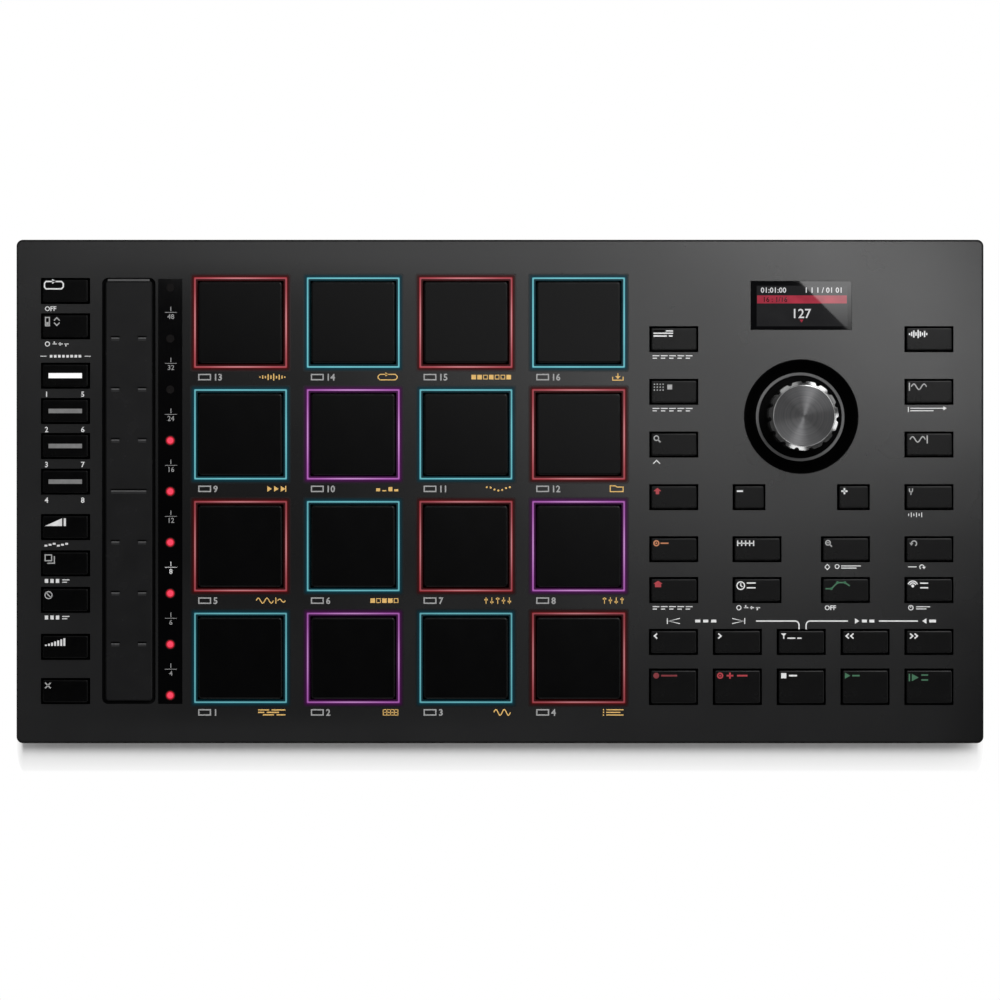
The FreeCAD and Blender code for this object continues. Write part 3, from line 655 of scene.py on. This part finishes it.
def make_cap(button):
    """A button: a post, a flange under the panel and a capped top with rounded corners."""
    at, width, depth, foot, top = extent(button)
    cap_width = width - 2 * cap_margin
    cap_depth = depth - 2 * cap_margin
    steps = [
        (2 * cap_post, 2 * cap_post, 0.1, foot), (2 * cap_post, 2 * cap_post, 0.1, cap_flange_foot),
        (width, depth, 0.8, cap_flange_foot), (width, depth, 0.8, cap_flange_top),
        (cap_width, cap_depth, cap_corner, cap_flange_top),
        (cap_width - 2 * cap_draft, cap_depth - 2 * cap_draft, cap_corner, cap_shoulder),
    ]
    for turn in (30, 60, 90):
        inset = cap_draft + cap_bevel * (1 - cos(radians(turn)))
        z = cap_shoulder + (top - cap_shoulder) * sin(radians(turn))
        steps.append((cap_width - 2 * inset, cap_depth - 2 * inset, cap_corner - 0.3 * (turn / 90), z))
    steps.append((steps[-1][0] - 0.3, steps[-1][1] - 0.3, cap_corner - 0.35, top))
    verts, faces = loft([rounded(w, d, r, z, at) for w, d, r, z in steps])
    # Painted shade: the buttons on the left take the less glossy copy
    finish = button_plastic if at[0] > 0 else left_button_shaded_plastic
    made = piece(button.replace("_button", "_cap"), verts, faces, button, "button_plastic", [finish], 40, None, at)
    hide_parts(button)
    return *at, cap_width / 2, cap_depth / 2, top


caps = {name.replace("_button", ""): make_cap(name) for name in sorted(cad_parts) if name.endswith("_button")}


def notched(angle, radius):
    """The grip's outline: its radius with shallow round flutes, one of them at the rear."""
    middle = radius - notch_depth + notch_radius
    step = 2 * pi / notch_count
    off = (angle - pi / 2 + step / 2) % step - step / 2
    across = middle * sin(off)
    if abs(across) >= notch_radius:
        return radius
    inner = middle * cos(off) - sqrt(notch_radius ** 2 - across ** 2)
    blend = 0.05
    return -blend * log(exp(-inner / blend) + exp(-radius / blend))


def turned_metal(name, dark, light, rough, ring_size, ring_depth, anisotropic):
    """Lathe-turned metal: rings about the axis, fine and unequal."""
    made, tree, bsdf = shader(name)
    place = places(tree)
    flat = node(tree, "CombineXYZ", {"X": place["X"], "Y": place["Y"]})
    length = node(tree, "VectorMath", {0: flat}, "Value", operation="LENGTH")
    rings = node(tree, "TexNoise", {"Scale": 1 / (ring_size * MM), "Detail": 3.0}, noise_dimensions="1D")
    connect(tree, rings.node, {"W": length})
    connect(tree, bsdf, {
        "Base Color": tinted(tree, rings, dark, light), "Roughness": between(tree, rings, *rough),
        "Normal": bumped(tree, rings, ring_depth, 1.0), "Metallic": 1.0, "Anisotropic": anisotropic,
        "Anisotropic Rotation": 0.25, "Tangent": node(tree, "Tangent", direction_type="RADIAL", axis="Z")})
    return made


knob_turned = turned_metal("knob_turned", (0.072, 0.072, 0.074), (0.1, 0.1, 0.102), (0.38, 0.42), 0.8, 0.003, 0.99)
knob_satin = surface(
    "knob_satin", 0.38, 0.46, (0.17, 0.21), grain=0.2, depth=0.003, strength=0.25, mottle=2.0, metallic=1.0)


def make_knob():
    """The dial's grip: fluted sides, a sloping shoulder, a fine rim and a turned face."""
    count = notch_count * 24
    shoulder_foot = knob_top - 1.0
    slope = 0.74
    steps = [
        (knob_radius - 0.35, knob_foot, 1, 0), (knob_radius, knob_foot + 0.35, 1, 0),
        (knob_radius, shoulder_foot, 1, slope), (knob_radius - 0.78, shoulder_foot + 0.78 * slope, 0, 0),
        (knob_face + 0.25, shoulder_foot + 0.95 * slope, 0, 0),
        (knob_face + 0.06, shoulder_foot + 1.14 * slope, 0, 0), (knob_face - 0.04, knob_top - 0.05, 0, 0),
        (knob_face - 0.2, knob_top, 0, 0), (knob_face - 0.32, knob_top - face_sink, 0, 0),
    ]
    loops = []
    for radius, z, share, rise in steps:
        loop = []
        for k in range(count):
            angle = 2 * pi * k / count
            cut = share * (knob_radius - notched(angle, knob_radius))
            r = radius - cut
            loop.append((dial_x + r * cos(angle), dial_y + r * sin(angle), z + rise * cut))
        loops.append(loop)
    face_rings = 12
    for ring in range(face_rings - 1, 0, -1):
        groove = 0.015 if ring % 2 else 0.0
        loops.append(circle(steps[-1][0] * ring / face_rings, knob_top - face_sink - groove, count))
    verts, faces = loft(loops)
    slots = [0] * ((len(steps) - 1) * count) + [1] * ((len(loops) - len(steps)) * count) + [0, 1]
    finishes = [knob_satin, knob_turned]
    made = piece("dial_grip", verts, faces, "dial", "knob_metal", finishes, 30, slots, (dial_x, dial_y))
    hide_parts("knob")


make_knob()

# The thin grey ring on the floor of the well: a real ledge whose light grey colour is a painted highlight
ring_painted_highlight = surface(
    "well_ring_satin", (0.098, 0.098, 0.1), (0.13, 0.13, 0.132), (0.3, 0.36), grain=0.2, depth=0.005, mottle=5.0,
    specular=0.4)
ring_loops = [circle(radius, z, 96) for radius, z in (
    (ring_outer, well_floor), (ring_outer, ring_top - 0.1), (ring_outer - 0.1, ring_top), (ring_inner + 0.1, ring_top),
    (ring_inner, ring_top - 0.1), (ring_inner, well_floor))]
piece("well_ring", *loft(ring_loops, closed=True), "case", "well_plastic", [ring_painted_highlight])

# Lamps and step marks on the window
lamp_places = [(lamp_x, (k - (lamp_count - 1) / 2) * lamp_pitch) for k in range(lamp_count)]
lit, dark = lamp_places[:lit_lamps], lamp_places[lit_lamps:]
for name, finish, radius, rise, lamps in (
        ("lamps_halo", halo_red, 1.7, 0.0, lit), ("lamps_rim", rim_red, 1.36, 0.02, lit),
        ("lamps_lit", lamp_red, 1.0, 0.04, lit), ("lamps_unlit", lamp_off, 1.3, 0.0, dark)):
    pen = Ink(name, "lamp_resin", finish, panel_top + rise)
    for x, y in lamps:
        pen.disc(x, y, radius, 28)
    pen.done()

first_step_y = 58.3
step_pens = [Ink(name, "smoked_window", finish)
             for name, finish in (("step_marks", step_ink), ("step_mark_lit", white_ink))]
for k, parts in enumerate(("48", "32", "24", "16", "12", "8", "6", "4")):
    pen = step_pens[k == lit_lamps - 1]
    pen.origin = (lamp_x + 0.2, first_step_y - k * lamp_pitch)
    pen.text("1", 0, 1.15, 1.5, "CENTER", 0.02)
    pen.box(0, 0, 3.9, 0.16)
    pen.text(parts, 0, -1.3, 1.6, "CENTER", 0.02)
for pen in step_pens:
    pen.done()

# The strip's engraved dashes get painted shade at their rear walls and painted highlights at their front walls; the lip
# at its rear edge catches the light, and its lighter colour is a painted highlight
strip_top = 29.3
strip_x = -120.9
strip_y = 0.2
lip_length = 13.6
lip_depth = 0.65
lip_rise = 0.33
lip_rear = 69.15
dash_pitch = 16.6
dash_reach = 4.35
dash_length = 2.6
middle_dash = 11.4
dash_painted_shade = surface("engraved_shade", 0.0006, 0.001, (0.4, 0.5), mottle=1.0, specular=0.02)
dashes = [(side * dash_reach, k * dash_pitch, dash_length) for k in (-3, -2, -1, 1, 2, 3) for side in (-1, 1)]
for name, finish, drop, longer, thick in (
        ("dash_shades", dash_painted_shade, 0.4, 0.3, 0.56),
        ("dash_glints", printed("engraved_glint", (0.12, 0.12, 0.122)), -0.06, 0, 0.3),
        ("dash_edges", printed("engraved_faint", (0.033, 0.033, 0.034)), -0.66, 0, 0.24)):
    pen = Ink(name, "strip_plastic", finish, strip_top)
    for x, y, length in dashes + [(0, 0, middle_dash)]:
        pen.box(strip_x + x, strip_y + y + drop, length + longer, thick)
    pen.done()
lip_section = ((lip_rear, -0.05), (lip_rear, 0), (lip_rear - lip_depth, lip_rise), (lip_rear - lip_depth - 0.1, -0.05))
lip_loops = [[(strip_x + side * lip_length / 2, y, strip_top + z) for y, z in lip_section] for side in (-1, 1)]
# The lip's lighter colour is a painted highlight over its sloping face
lip_painted_highlight = surface(
    "strip_lip", (0.055, 0.055, 0.056), (0.065, 0.065, 0.066), (0.2, 0.24), grain=0.25, depth=0.005, strength=0.25,
    mottle=4.0)
piece("strip_lip", *loft(lip_loops), "case", "strip_plastic", [lip_painted_highlight])

# The screen: field, bar with its marker and figures, and readings
screen_top = panel_top + 0.03
for name, finish, top, marks in (
        ("screen_field", screen_field, panel_top, [(0.3, -0.2, 29.6, 13.2)]),
        ("screen_bar", bar_red, screen_top, [(0.25, 1.95, 29.2, 2.6), ("point", 0.1, -5.6, -1.0, 0.65, True)]),
        ("screen_readings", screen_white, screen_top, [
            ("text", "01:01:00", -13.2, 5.0, 1.7), ("text", "1 1 1 / 01 01", 13.6, 5.0, 1.7, "RIGHT"),
            ("text", "127", 0, -2.6, 3.0, "CENTER")]),
        ("screen_bar_marks", dark_ink, screen_top + 0.03, [("text", "16 : 1/16", -12.6, 1.95, 1.6)])):
    pen = Ink(name, "display_glass", finish, top)
    pen.origin = (screen_x, screen_y)
    pen.draw(marks)
    pen.done()


# Signs are lists of marks for Ink.draw. Those beside the pads run leftwards.
def wave(points, x, width, height, turns, y=0):
    """Points of a sine wave."""
    return [(x + width * k / points, y + height / 2 * sin(2 * pi * turns * k / points)) for k in range(points + 1)]


def blocks(*filled):
    """Squares, full or outlined."""
    reach = 0.63
    marks = []
    for k, full in enumerate(reversed(filled)):
        x = -0.75 - 1.9 * k
        marks.append((x, 0, 1.5, 1.5) if full else ("outline", x - reach, -reach, x + reach, reach, 0.24))
    return marks


def sliders(*knobs):
    """Upright rules, each with a knob at its own height."""
    return [("row", len(knobs), -1.9, 0, -0.55, 0, 0.26, 2.1)] + [
        (-0.55 - 1.9 * k, y, 1.1, 0.5) for k, y in enumerate(reversed(knobs))]


def bars(pitch, x, y, width, heights):
    """Upright bars in a row."""
    return [(x + pitch * k, y, width, height) for k, height in enumerate(heights)]


def chevron(x, way):
    """An open arrowhead."""
    return "stroke", [(x, 0.8), (x + 0.9 * way, 0.0), (x, -0.8)], 0.34


PAD_SIGNS = (
    [((low + high) / 2, y, high - low, 0.4) for low, high, y in ((-9, -5.4, 0.8), (-4.6, -0.1, 0.8), (-9, -7, 0),
        (-6.2, -2.2, 0), (-7.4, -3.8, -0.8), (-3, -0.1, -0.8))],
    [("row", 5, -1.2, 0, -0.15, 0, 0.26, 2), ("row", 3, 0, 0.9, -2.55, -0.9, 4.8, 0.24)],
    [("stroke", wave(28, -5.6, 5.4, 1.9, 2), 0.34)],
    [("disc", -6.6, y, 0.24, 8) for y in (0.85, 0, -0.85)] + [(-2.9, 0.85, 5.6, 0.34), (-3.4, 0, 4.6, 0.34),
        (-2.9, -0.85, 5.6, 0.34)],
    [("stroke", wave(24, -9.6, 5.6, 1.7, 2), 0.32), ("stroke", [(-3.2, 1), (-3.2, -1)], 0.32),
        ("stroke", wave(12, -2.6, 2.5, 1, 1), 0.32)],
    blocks(1, 0, 1, 1, 0),
    sliders(0.3, -0.5, 0.6, 0, -0.3),
    sliders(0.6, 0.1, -0.4, 0.4),
    [("point", x + 1.5, 0, 1.5, 0.95) for x in (-6, -3.8, -1.6)] + [(0, 0, 0.34, 1.9)],
    [(x, height / 2 - 0.8, 1.3, height) for x, height in ((-6.6, 1), (-4.6, 0.4), (-2.6, 1.4), (-0.7, 0.7))],
    [("disc", -0.4 - 1.25 * k, 0.55 * cos(1.1 * k), 0.34, 10) for k in range(7)],
    [("stroke", [(-4.4, -0.9), (-0.2, -0.9), (-0.2, 0.6), (-2.2, 0.6), (-2.7, 1), (-4.4, 1)], 0.32, True)],
    bars(-0.9, -0.3, 0, 0.4, (0.5, 1, 1.6, 0.8, 2.2, 1.2, 1.9, 0.7, 1.1, 0.5)),
    [("stroke", [(-6, -0.9), (-1, -0.9), (-0.4, -0.3), (-0.4, 0.3), (-1, 0.9), (-6, 0.9), (-6.6, 0.3), (-6.6, -0.3)],
        0.32, True), ("point", -3.2, 0.9, 1, 0.7)],
    blocks(1, 1, 0, 1, 0, 0, 1),
    [("stroke", [(-3.6, 0.1), (-3.6, -1), (-0.2, -1), (-0.2, 0.1)], 0.32), (-1.9, 0.75, 0.34, 1),
        ("point", -1.9, -0.6, -0.9, 0.9, True)],
)
label_drop = 17.75
figures_left = 13.8
signs_right = 14.7
pad_figures = Ink("pad_figures", "case_plastic", grey_ink)
pad_signs = Ink("pad_signs", "case_plastic", yellow_ink)
for (number, x, y), sign in zip(pad_places, PAD_SIGNS):
    pad_figures.origin = (x - figures_left, y - label_drop)
    pad_figures.outline(0.2, -0.85, 4, 0.85, 0.4)
    pad_figures.text(str(number), 4.9, 0, 2.1, weight=0.07)
    pad_signs.origin = (x + signs_right, y - label_drop)
    pad_signs.draw(sign)
pad_figures.done()
pad_signs.done()

sign_inset = 0.85
sign_drop = 1.8


def sign_buttons(finish, signs):
    """Puts signs of one finish on their buttons' caps, from the left end of the sign's line."""
    for name, marks in signs.items():
        x, y, half_width, half_depth, top = caps[name]
        pen = Ink(name + "_sign", "button_plastic", finish, top, name + "_button")
        pen.origin = (x - half_width + sign_inset, y + half_depth - sign_drop)
        pen.bold = 1.3
        pen.draw(marks)
        pen.done()


bank_bar = [(6.65, -1.95, 10.9, 1.45)]
sign_buttons(white_ink, {
    "repeat": [("stroke", [(0.4, -1.3), (5.4, -1.3), (6, -0.7), (6, 0.5), (5.4, 1.1), (0.4, 1.1), (-0.1, 0.5),
        (-0.1, -0.7)], 0.34, True), ("point", 3.6, 1.1, 1.2, 0.8)],
    "track": [("row", 2, 0, -0.75, 3.2, 0.7, 6.4, 0.32), (2, 0.7, 4, 0.32), (2.2, -0.95, 4.4, 0.34),
        (5.6, -0.95, 1.2, 0.34)],
    "sample_select": bars(0.7, 0.25, -0.3, 0.34, (0.6, 1.4, 2.3, 1.1, 2.7, 1.7, 0.9, 2, 0.7)),
    "quantize": [("row", 5, 1.3, 0, 0.3, 0, 0.3, 1.8), (2.9, 0, 5.2, 0.28)],
    "time_correct": [("arc", 1.3, -0.5, 1.25), ("stroke", [(1.3, 0.3), (1.3, -0.5), (1.9, -0.9)]),
        ("row", 2, 0, -1.55, 4.7, 0.35, 2.9, 0.32)],
    "tap": [("disc", 1.3, -0.6, 0.5, 12), ("arc", 1.3, -0.6, 1, line, 20, 160),
        ("arc", 1.3, -0.6, 1.6, line, 20, 160), ("row", 2, 0, -1.5, 5, 0.3, 2.6, 0.32)],
    "step_back": [chevron(1.3, -1)],
    "step_forward": [chevron(0.4, 1)],
    "locate": [("point", 0.9, -0.1, -0.95, 0.9, True), (0.9, -0.45, 0.3, 0.9), (3.4, -0.7, 2.6, 0.32),
        (6, -0.7, 1.4, 0.32)],
    "rewind": [chevron(1.3, -1), chevron(2.8, -1)],
    "fast_forward": [chevron(0.4, 1), chevron(1.9, 1)],
    "stop": [(0.9, 0, 1.7, 1.7), (3.9, 0, 2.6, 0.4)],
    "minus": [(1, 0, 2, 0.42)],
    "plus": [(1, 0, 2, 0.42), (1, 0, 0.42, 2)]
})
sign_buttons(grey_ink, {
    "strip_mode": [("outline", 0.2, -1.8, 1.5, 0.9), (0.85, -1.1, 0.8, 0.9),
        ("stroke", [(3, -0.1), (3.9, 0.8), (4.8, -0.1)]), ("stroke", [(3, -0.8), (3.9, -1.7), (4.8, -0.8)])],
    "copy": [("outline", 0.1, -1.1, 2.2, 0.8), ("stroke", [(2.9, 0.2), (3.1, 0.2), (3.1, -1.9), (0.9, -1.9),
        (0.9, -1.8)])],
    "mute": [("arc", 1.2, -0.4, 1.15), ("stroke", [(0.45, 0.4), (1.95, -1.2)])],
    "erase": [("stroke", [(0.1, 0.8), (1.9, -1)], 0.32), ("stroke", [(0.1, -1), (1.9, 0.8)], 0.32)],
    "program": [("disc", 0.3 + 0.95 * i, 0.5 - 0.95 * j, 0.24, 8) for i in range(4) for j in range(3)] +
        [(5.3, -0.4, 1.6, 1.6)],
    "browse": [("arc", 0.95, 0.1, 0.75), ("stroke", [(1.5, -0.45), (2.3, -1.2)], 0.34)],
    "sample_start": [(0.2, -0.3, 0.32, 2.6), ("stroke", wave(20, 0.8, 5, 1.8, 1.5, -0.3))],
    "sample_end": [(6, -0.3, 0.32, 2.6), ("stroke", wave(20, 0.4, 5, 1.8, 1.5, -0.3))],
    "tune": [("stroke", [(0.2, 0.9), (0.2, 0), (0.7, -0.4), (1.2, 0), (1.2, 0.9)]), (0.7, -0.8, line, 0.8)],
    "zoom": [("arc", 0.9, 0.15, 0.75), ("stroke", [(1.45, -0.4), (2.2, -1.1)], 0.34), (0.9, 0.15, 0.8, 0.22)],
    "undo": [("arc", 1.7, -0.1, 0.85, line, -60, 180), ("point", 0.85, -0.8, -0.9, 0.65, True)]
})
sign_buttons(bar_white, {"bank_1": [(6.65, -1.95, 10.9, 1.66)]})
sign_buttons(bar_grey, {"bank_2": bank_bar, "bank_3": bank_bar, "bank_4": bank_bar})
sign_buttons(bright_ink, {
    "full_level": [("fill", [(0, -1.6), (5.6, -1.6), (5.6, 0.9)]), (6.5, -0.35, 0.7, 2.5)],
    "level_steps": [(0.35 + k, 0.175 * (k + 1) - 1.6, 0.62, 0.35 * (k + 1)) for k in range(7)]
})
sign_buttons(red_ink, {
    "shift": [("point", 1.3, 1.1, 1.1, 1.3, True), (1.3, -0.5, 1.1, 1)],
    "main": [("point", 1.5, 1.1, 1, 1.5, True), (1.5, -0.45, 2, 1.1)],
    "overdub": [("arc", 1, 0, 0.8, 0.36), ("disc", 1, 0, 0.35, 10), (4.2, 0, 2.2, 0.42), (4.2, 0, 0.42, 2),
        (8.2, 0, 3.4, 0.42)]
})
sign_buttons(dim_red_ink, {"record": [("disc", 1, 0, 0.95, 18), (5.2, 0, 5.2, 0.42)]})
sign_buttons(orange_ink, {"mode": [("arc", 0.95, 0, 0.8, 0.34), ("disc", 0.95, 0, 0.3, 10), (3.6, 0, 2.6, 0.34)]})
sign_buttons(green_ink, {
    "automation": [("stroke", [(0.1, -1.5), (2, -1.5), (4, 0.5), (6.4, 0.5), (8, -0.6)], 0.34)] +
        [("disc", x, y, 0.45, 10) for x, y in ((2, -1.5), (4, 0.5), (6.4, 0.5))],
    "play": [("point", 1.8, 0, 1.8, 1), (3.6, 0, 2.4, 0.4)],
    "play_start": [(0.2, -0.6, 0.36, 2.4), ("point", 3.2, -0.6, 2.2, 1.2),
        ("row", 2, 0, -1.6, 5.2, 0.2, 2.2, 0.36)]
})

# Lines, figures and signs printed on the panel
panel_ink = Ink("panel_marks", "case_plastic", white_ink)
figures_below = 6.0
signs_below = 5.75
dots_below = 9.75
rule_y = -42.2
for bank in range(1, 5):
    x, y = caps[f"bank_{bank}"][:2]
    panel_ink.origin = (x, y - figures_below)
    panel_ink.text(str(bank), -6.8, 0, 1.7)
    panel_ink.text(str(bank + 4), 6.2, 0, 1.7, "RIGHT")

word_off = [("text", "OFF", 0.1, 0, 1.5)]
short_rows = [("row", 5, 2.7, 0, 1.1, 0.35, 2.2, 0.32), ("row", 5, 2.7, 0, 0.7, -0.45, 1.4, 0.32)]
small_list = [("row", 3, 1.8, 0, 0.7, 0, 1.1, 1.3), (7, 0.35, 2.4, 0.3), (6.6, -0.4, 1.6, 0.3)]
small_gear = [("arc", 1, 0, 0.7, 0.3, 0, 360, 12), ("row", 3, 1.9, 0, 3.4, 0, 1.4, 0.3),
              ("row", 3, 1.9, -0.3, 3.2, 0.3, 0.4, 1)]
UNDER_SIGNS = {
    "repeat": word_off, "automation": word_off, "strip_mode": small_gear, "time_correct": small_gear,
    "copy": small_list, "mute": small_list, "track": short_rows, "program": short_rows, "main": short_rows,
    "full_level": [(0.5 + 1.35 * k, 0.3 * (k % 3) - 0.3, 0.95, 0.6) for k in range(6)],
    "browse": [("stroke", [(0.2, -0.5), (1.3, 0.6), (2.4, -0.5)], 0.32)],
    "sample_start": [(0.2, 0, 0.3, 1.7), ("stroke", [(0.8, 0.4), (11.6, 0.4)]), ("stroke", [(0.8, -0.4), (8.4, -0.4)]),
        ("point", 12.7, 0.4, 1.1, 0.7)],
    "tune": bars(0.85, 0.3, 0, 0.26, (0.8, 1.5, 0.8, 1.5, 0.8, 1.5)),
    "zoom": [("stroke", [(0.2, 0), (1, 0.8), (1.8, 0)]), ("stroke", [(0.2, -0.1), (1, -0.9), (1.8, -0.1)]),
        ("arc", 4.2, 0.1, 0.65, line, 0, 360, 12), (8.7, 0.3, 6.4, 0.3), (8, -0.4, 5, 0.3)],
    "undo": [("arc", 4.6, -0.05, 0.7, line, 0, 240, 12), ("point", 5.3, -0.7, -0.7, 0.6, True), (1.5, 0, 2.8, 0.3)],
    "tap": [("arc", 1, 0, 0.75, line, 0, 360, 12), (1, 0.4, 0.26, 0.8), (5, 0.3, 4.6, 0.28),
        (4.4, -0.4, 3.4, 0.28)],
}
dotted_rule = [(-0.3, 0, 2, 0.22), (14.1, 0, 2, 0.22), ("row", 8, 1.34, 0, 2.2, 0, 0.85, 0.85)]
for name, marks, drop in (*((*sign, signs_below) for sign in UNDER_SIGNS.items()),
                          ("strip_mode", dotted_rule, dots_below)):
    x, y = caps[name][:2]
    panel_ink.origin = (x - 6.9, y - drop)
    panel_ink.draw(marks)


def bend(x, way, reach, drop=2.7, radius=1.3):
    """A level line that turns down towards a button over a quarter circle."""
    quarter = [(x + way * radius * (1 - cos(a)), -radius * (1 - sin(a)))
               for a in (pi / 2 * k / 5 for k in range(6))]
    return "stroke", [(x, -drop)] + quarter + [(x + way * reach, 0)], rule_width


# The line that ties the locate button to its neighbours, and the marks in it
rule_width = 0.42
panel_ink.origin = (0, rule_y)
for x, way in ((56.7, -1), (77.5, 1)):
    panel_ink.stroke([(x - 1.9 * way, 0.85), (x + 1.9 * way, 0), (x - 1.9 * way, -0.85)], 0.3)
    panel_ink.box(x + 2.2 * way, 0, 0.3, 1.9)
panel_ink.draw([
    ("row", 3, 2.6, 0, 64.4, 0, 1.7, 0.9), bend(97.4, -1, 14), bend(99.7, 1, 13.6),
    ("stroke", [(123.4, 0), (136.1, 0)], rule_width), ("point", 117, 0, 1.4, 0.9),
    ("row", 2, 2.4, 0, 118.7, 0, 1.6, 0.9), ("point", 137.5, 0, -1.4, 0.9), (140.9, 0, 2.2, 0.9)])
panel_ink.done()

# The floor: it keeps the shadow beside the case and turns plain white further out
floor_half = 6.0
floor_mesh = bpy.data.meshes.new("floor")
floor_corners = [(floor_half * x, floor_half * y, 0) for x, y in ((-1, -1), (1, -1), (1, 1), (-1, 1))]
floor_mesh.from_pydata(floor_corners, [], [(0, 1, 2, 3)])
floor = placed("floor", floor_mesh)
floor_finish, tree, bsdf = shader("floor_paper")
connect(tree, bsdf, {"Roughness": 0.9, "Specular IOR Level": 0.1,
                     "Base Color": tinted(tree, noise(tree, 3.0, 3.0), 0.68, 0.72)})

# How far the shadow is kept beyond the case, at its sides, rear and front, before the white begins
shade_beside = 2.4
shade_behind = 1.3
shade_before = 9.5
front_start = case_half_depth + 1.3
place = places(tree)
squares = []
for value, start, reach in (
        (calc(tree, "ABSOLUTE", place["X"]), case_half_width, shade_beside),
        (place["Y"], case_half_depth, shade_behind),
        (calc(tree, "MULTIPLY", place["Y"], -1.0), front_start, shade_before)):
    beyond = span(tree, value, start * MM, (start + reach) * MM, clamp=False)
    squares.append(calc(tree, "POWER", calc(tree, "MAXIMUM", beyond, 0.0), 2.0))
distance = calc(tree, "SQRT", calc(tree, "ADD", calc(tree, "ADD", squares[0], squares[1]), squares[2]))
fade = ramp(tree, distance, (
    (0, 0.0), (0.13, 0.05), (0.23, 0.27), (0.37, 0.55), (0.5, 0.69), (0.64, 0.76), (0.92, 0.89), (1, 1.0)))
rays = node(tree, "LightPath").node.outputs
seen = calc(tree, "ADD", rays["Is Camera Ray"], rays["Is Glossy Ray"], clamp=True)
seen = calc(tree, "ADD", seen, rays["Is Transmission Ray"], clamp=True)
share = calc(tree, "MULTIPLY", seen, fade)
mixed = node(tree, "MixShader", {0: share, 1: bsdf.outputs["BSDF"], 2: node(tree, "Emission")})
connect(tree, tree.nodes["Material Output"], {"Surface": mixed})
floor_mesh.materials.append(floor_finish)

# Soft studio light: a dim room, paler near the horizon
world = bpy.data.worlds.new("room")
scene.world = world
world.use_nodes = True
tree = world.node_tree
height = places(tree, "Generated")["Z"]
connect(tree, tree.nodes["Background"], {"Color": ramp(tree, height, (
    (0, 0.05), (0.45, 0.06), (0.6, 0.75), (0.82, 0.75), (0.93, 0.05), (1, 0.04)))})


def lamp(name, radiance, size):
    """A soft rectangular lamp of that radiance, shining down until it is turned."""
    data = bpy.data.lights.new(name, "AREA")
    data.shape = "RECTANGLE"
    data.size, data.size_y = size
    data.energy = radiance * pi * size[0] * size[1]
    made = placed(name, data)
    made.visible_camera = False
    return made


def softbox(name, radiance, size, azimuth, elevation):
    """A lamp aimed at the middle of the panel from a metre away in that direction, in degrees."""
    made = lamp(name, radiance, size)
    a, e = radians(azimuth), radians(elevation)
    made.location = (cos(a) * cos(e), sin(a) * cos(e), panel_top * MM + sin(e))
    made.rotation_euler = (0, pi / 2 - e, a)
    return made


def card(name, radiance, size, x, y, turn):
    """A level lamp over the panel, turned about the upright, in degrees."""
    made = lamp(name, radiance, size)
    made.location = (x, y, panel_top * MM + card_height)
    made.rotation_euler = (0, 0, radians(turn))
    return made


softbox("rear", 8.2, (0.6, 0.25), 64, 52)
softbox("rear_side", 2.6, (0.6, 0.45), 35, 52)
softbox("right", 2.6, (0.25, 0.4), -7, 18)
softbox("beside", 0.6, (0.25, 0.4), 26, 18)
softbox("rear_right", 3.5, (0.25, 0.45), 57, 18)
softbox("rear_left", 0.75, (0.25, 0.6), 110, 18)
softbox("front", 2.2, (0.25, 0.45), -93, 18)

# Two level cards: one over the left rear, and one over the right rear whose slanting edge shows in the screen
card_height = 1.0
card_edge = 0.1837
card_size = (0.0674, 0.515)
card_shift = 0.1136
card_reach = card_edge + card_size[0] / 2
card("left_card", 1.6, (0.612, 0.1), -0.092, 0.147, -30)
card("right_card", 7.6, card_size, (card_reach - card_shift) / sqrt(2),
     (card_reach + card_shift) / sqrt(2), 45)

# The camera: straight down, its scale set at the panel
camera_height = 1.8
pixel = 0.3257
frame_pixels = 1000
optical_axis_y = -2.78
camera_data = bpy.data.cameras.new("camera")
camera_data.lens = camera_height * camera_data.sensor_width / (frame_pixels * pixel * MM)
camera = placed("camera", camera_data)
camera.location = (0, optical_axis_y * MM, panel_top * MM + camera_height)
scene.camera = camera
scene.view_settings.view_transform = "Standard"
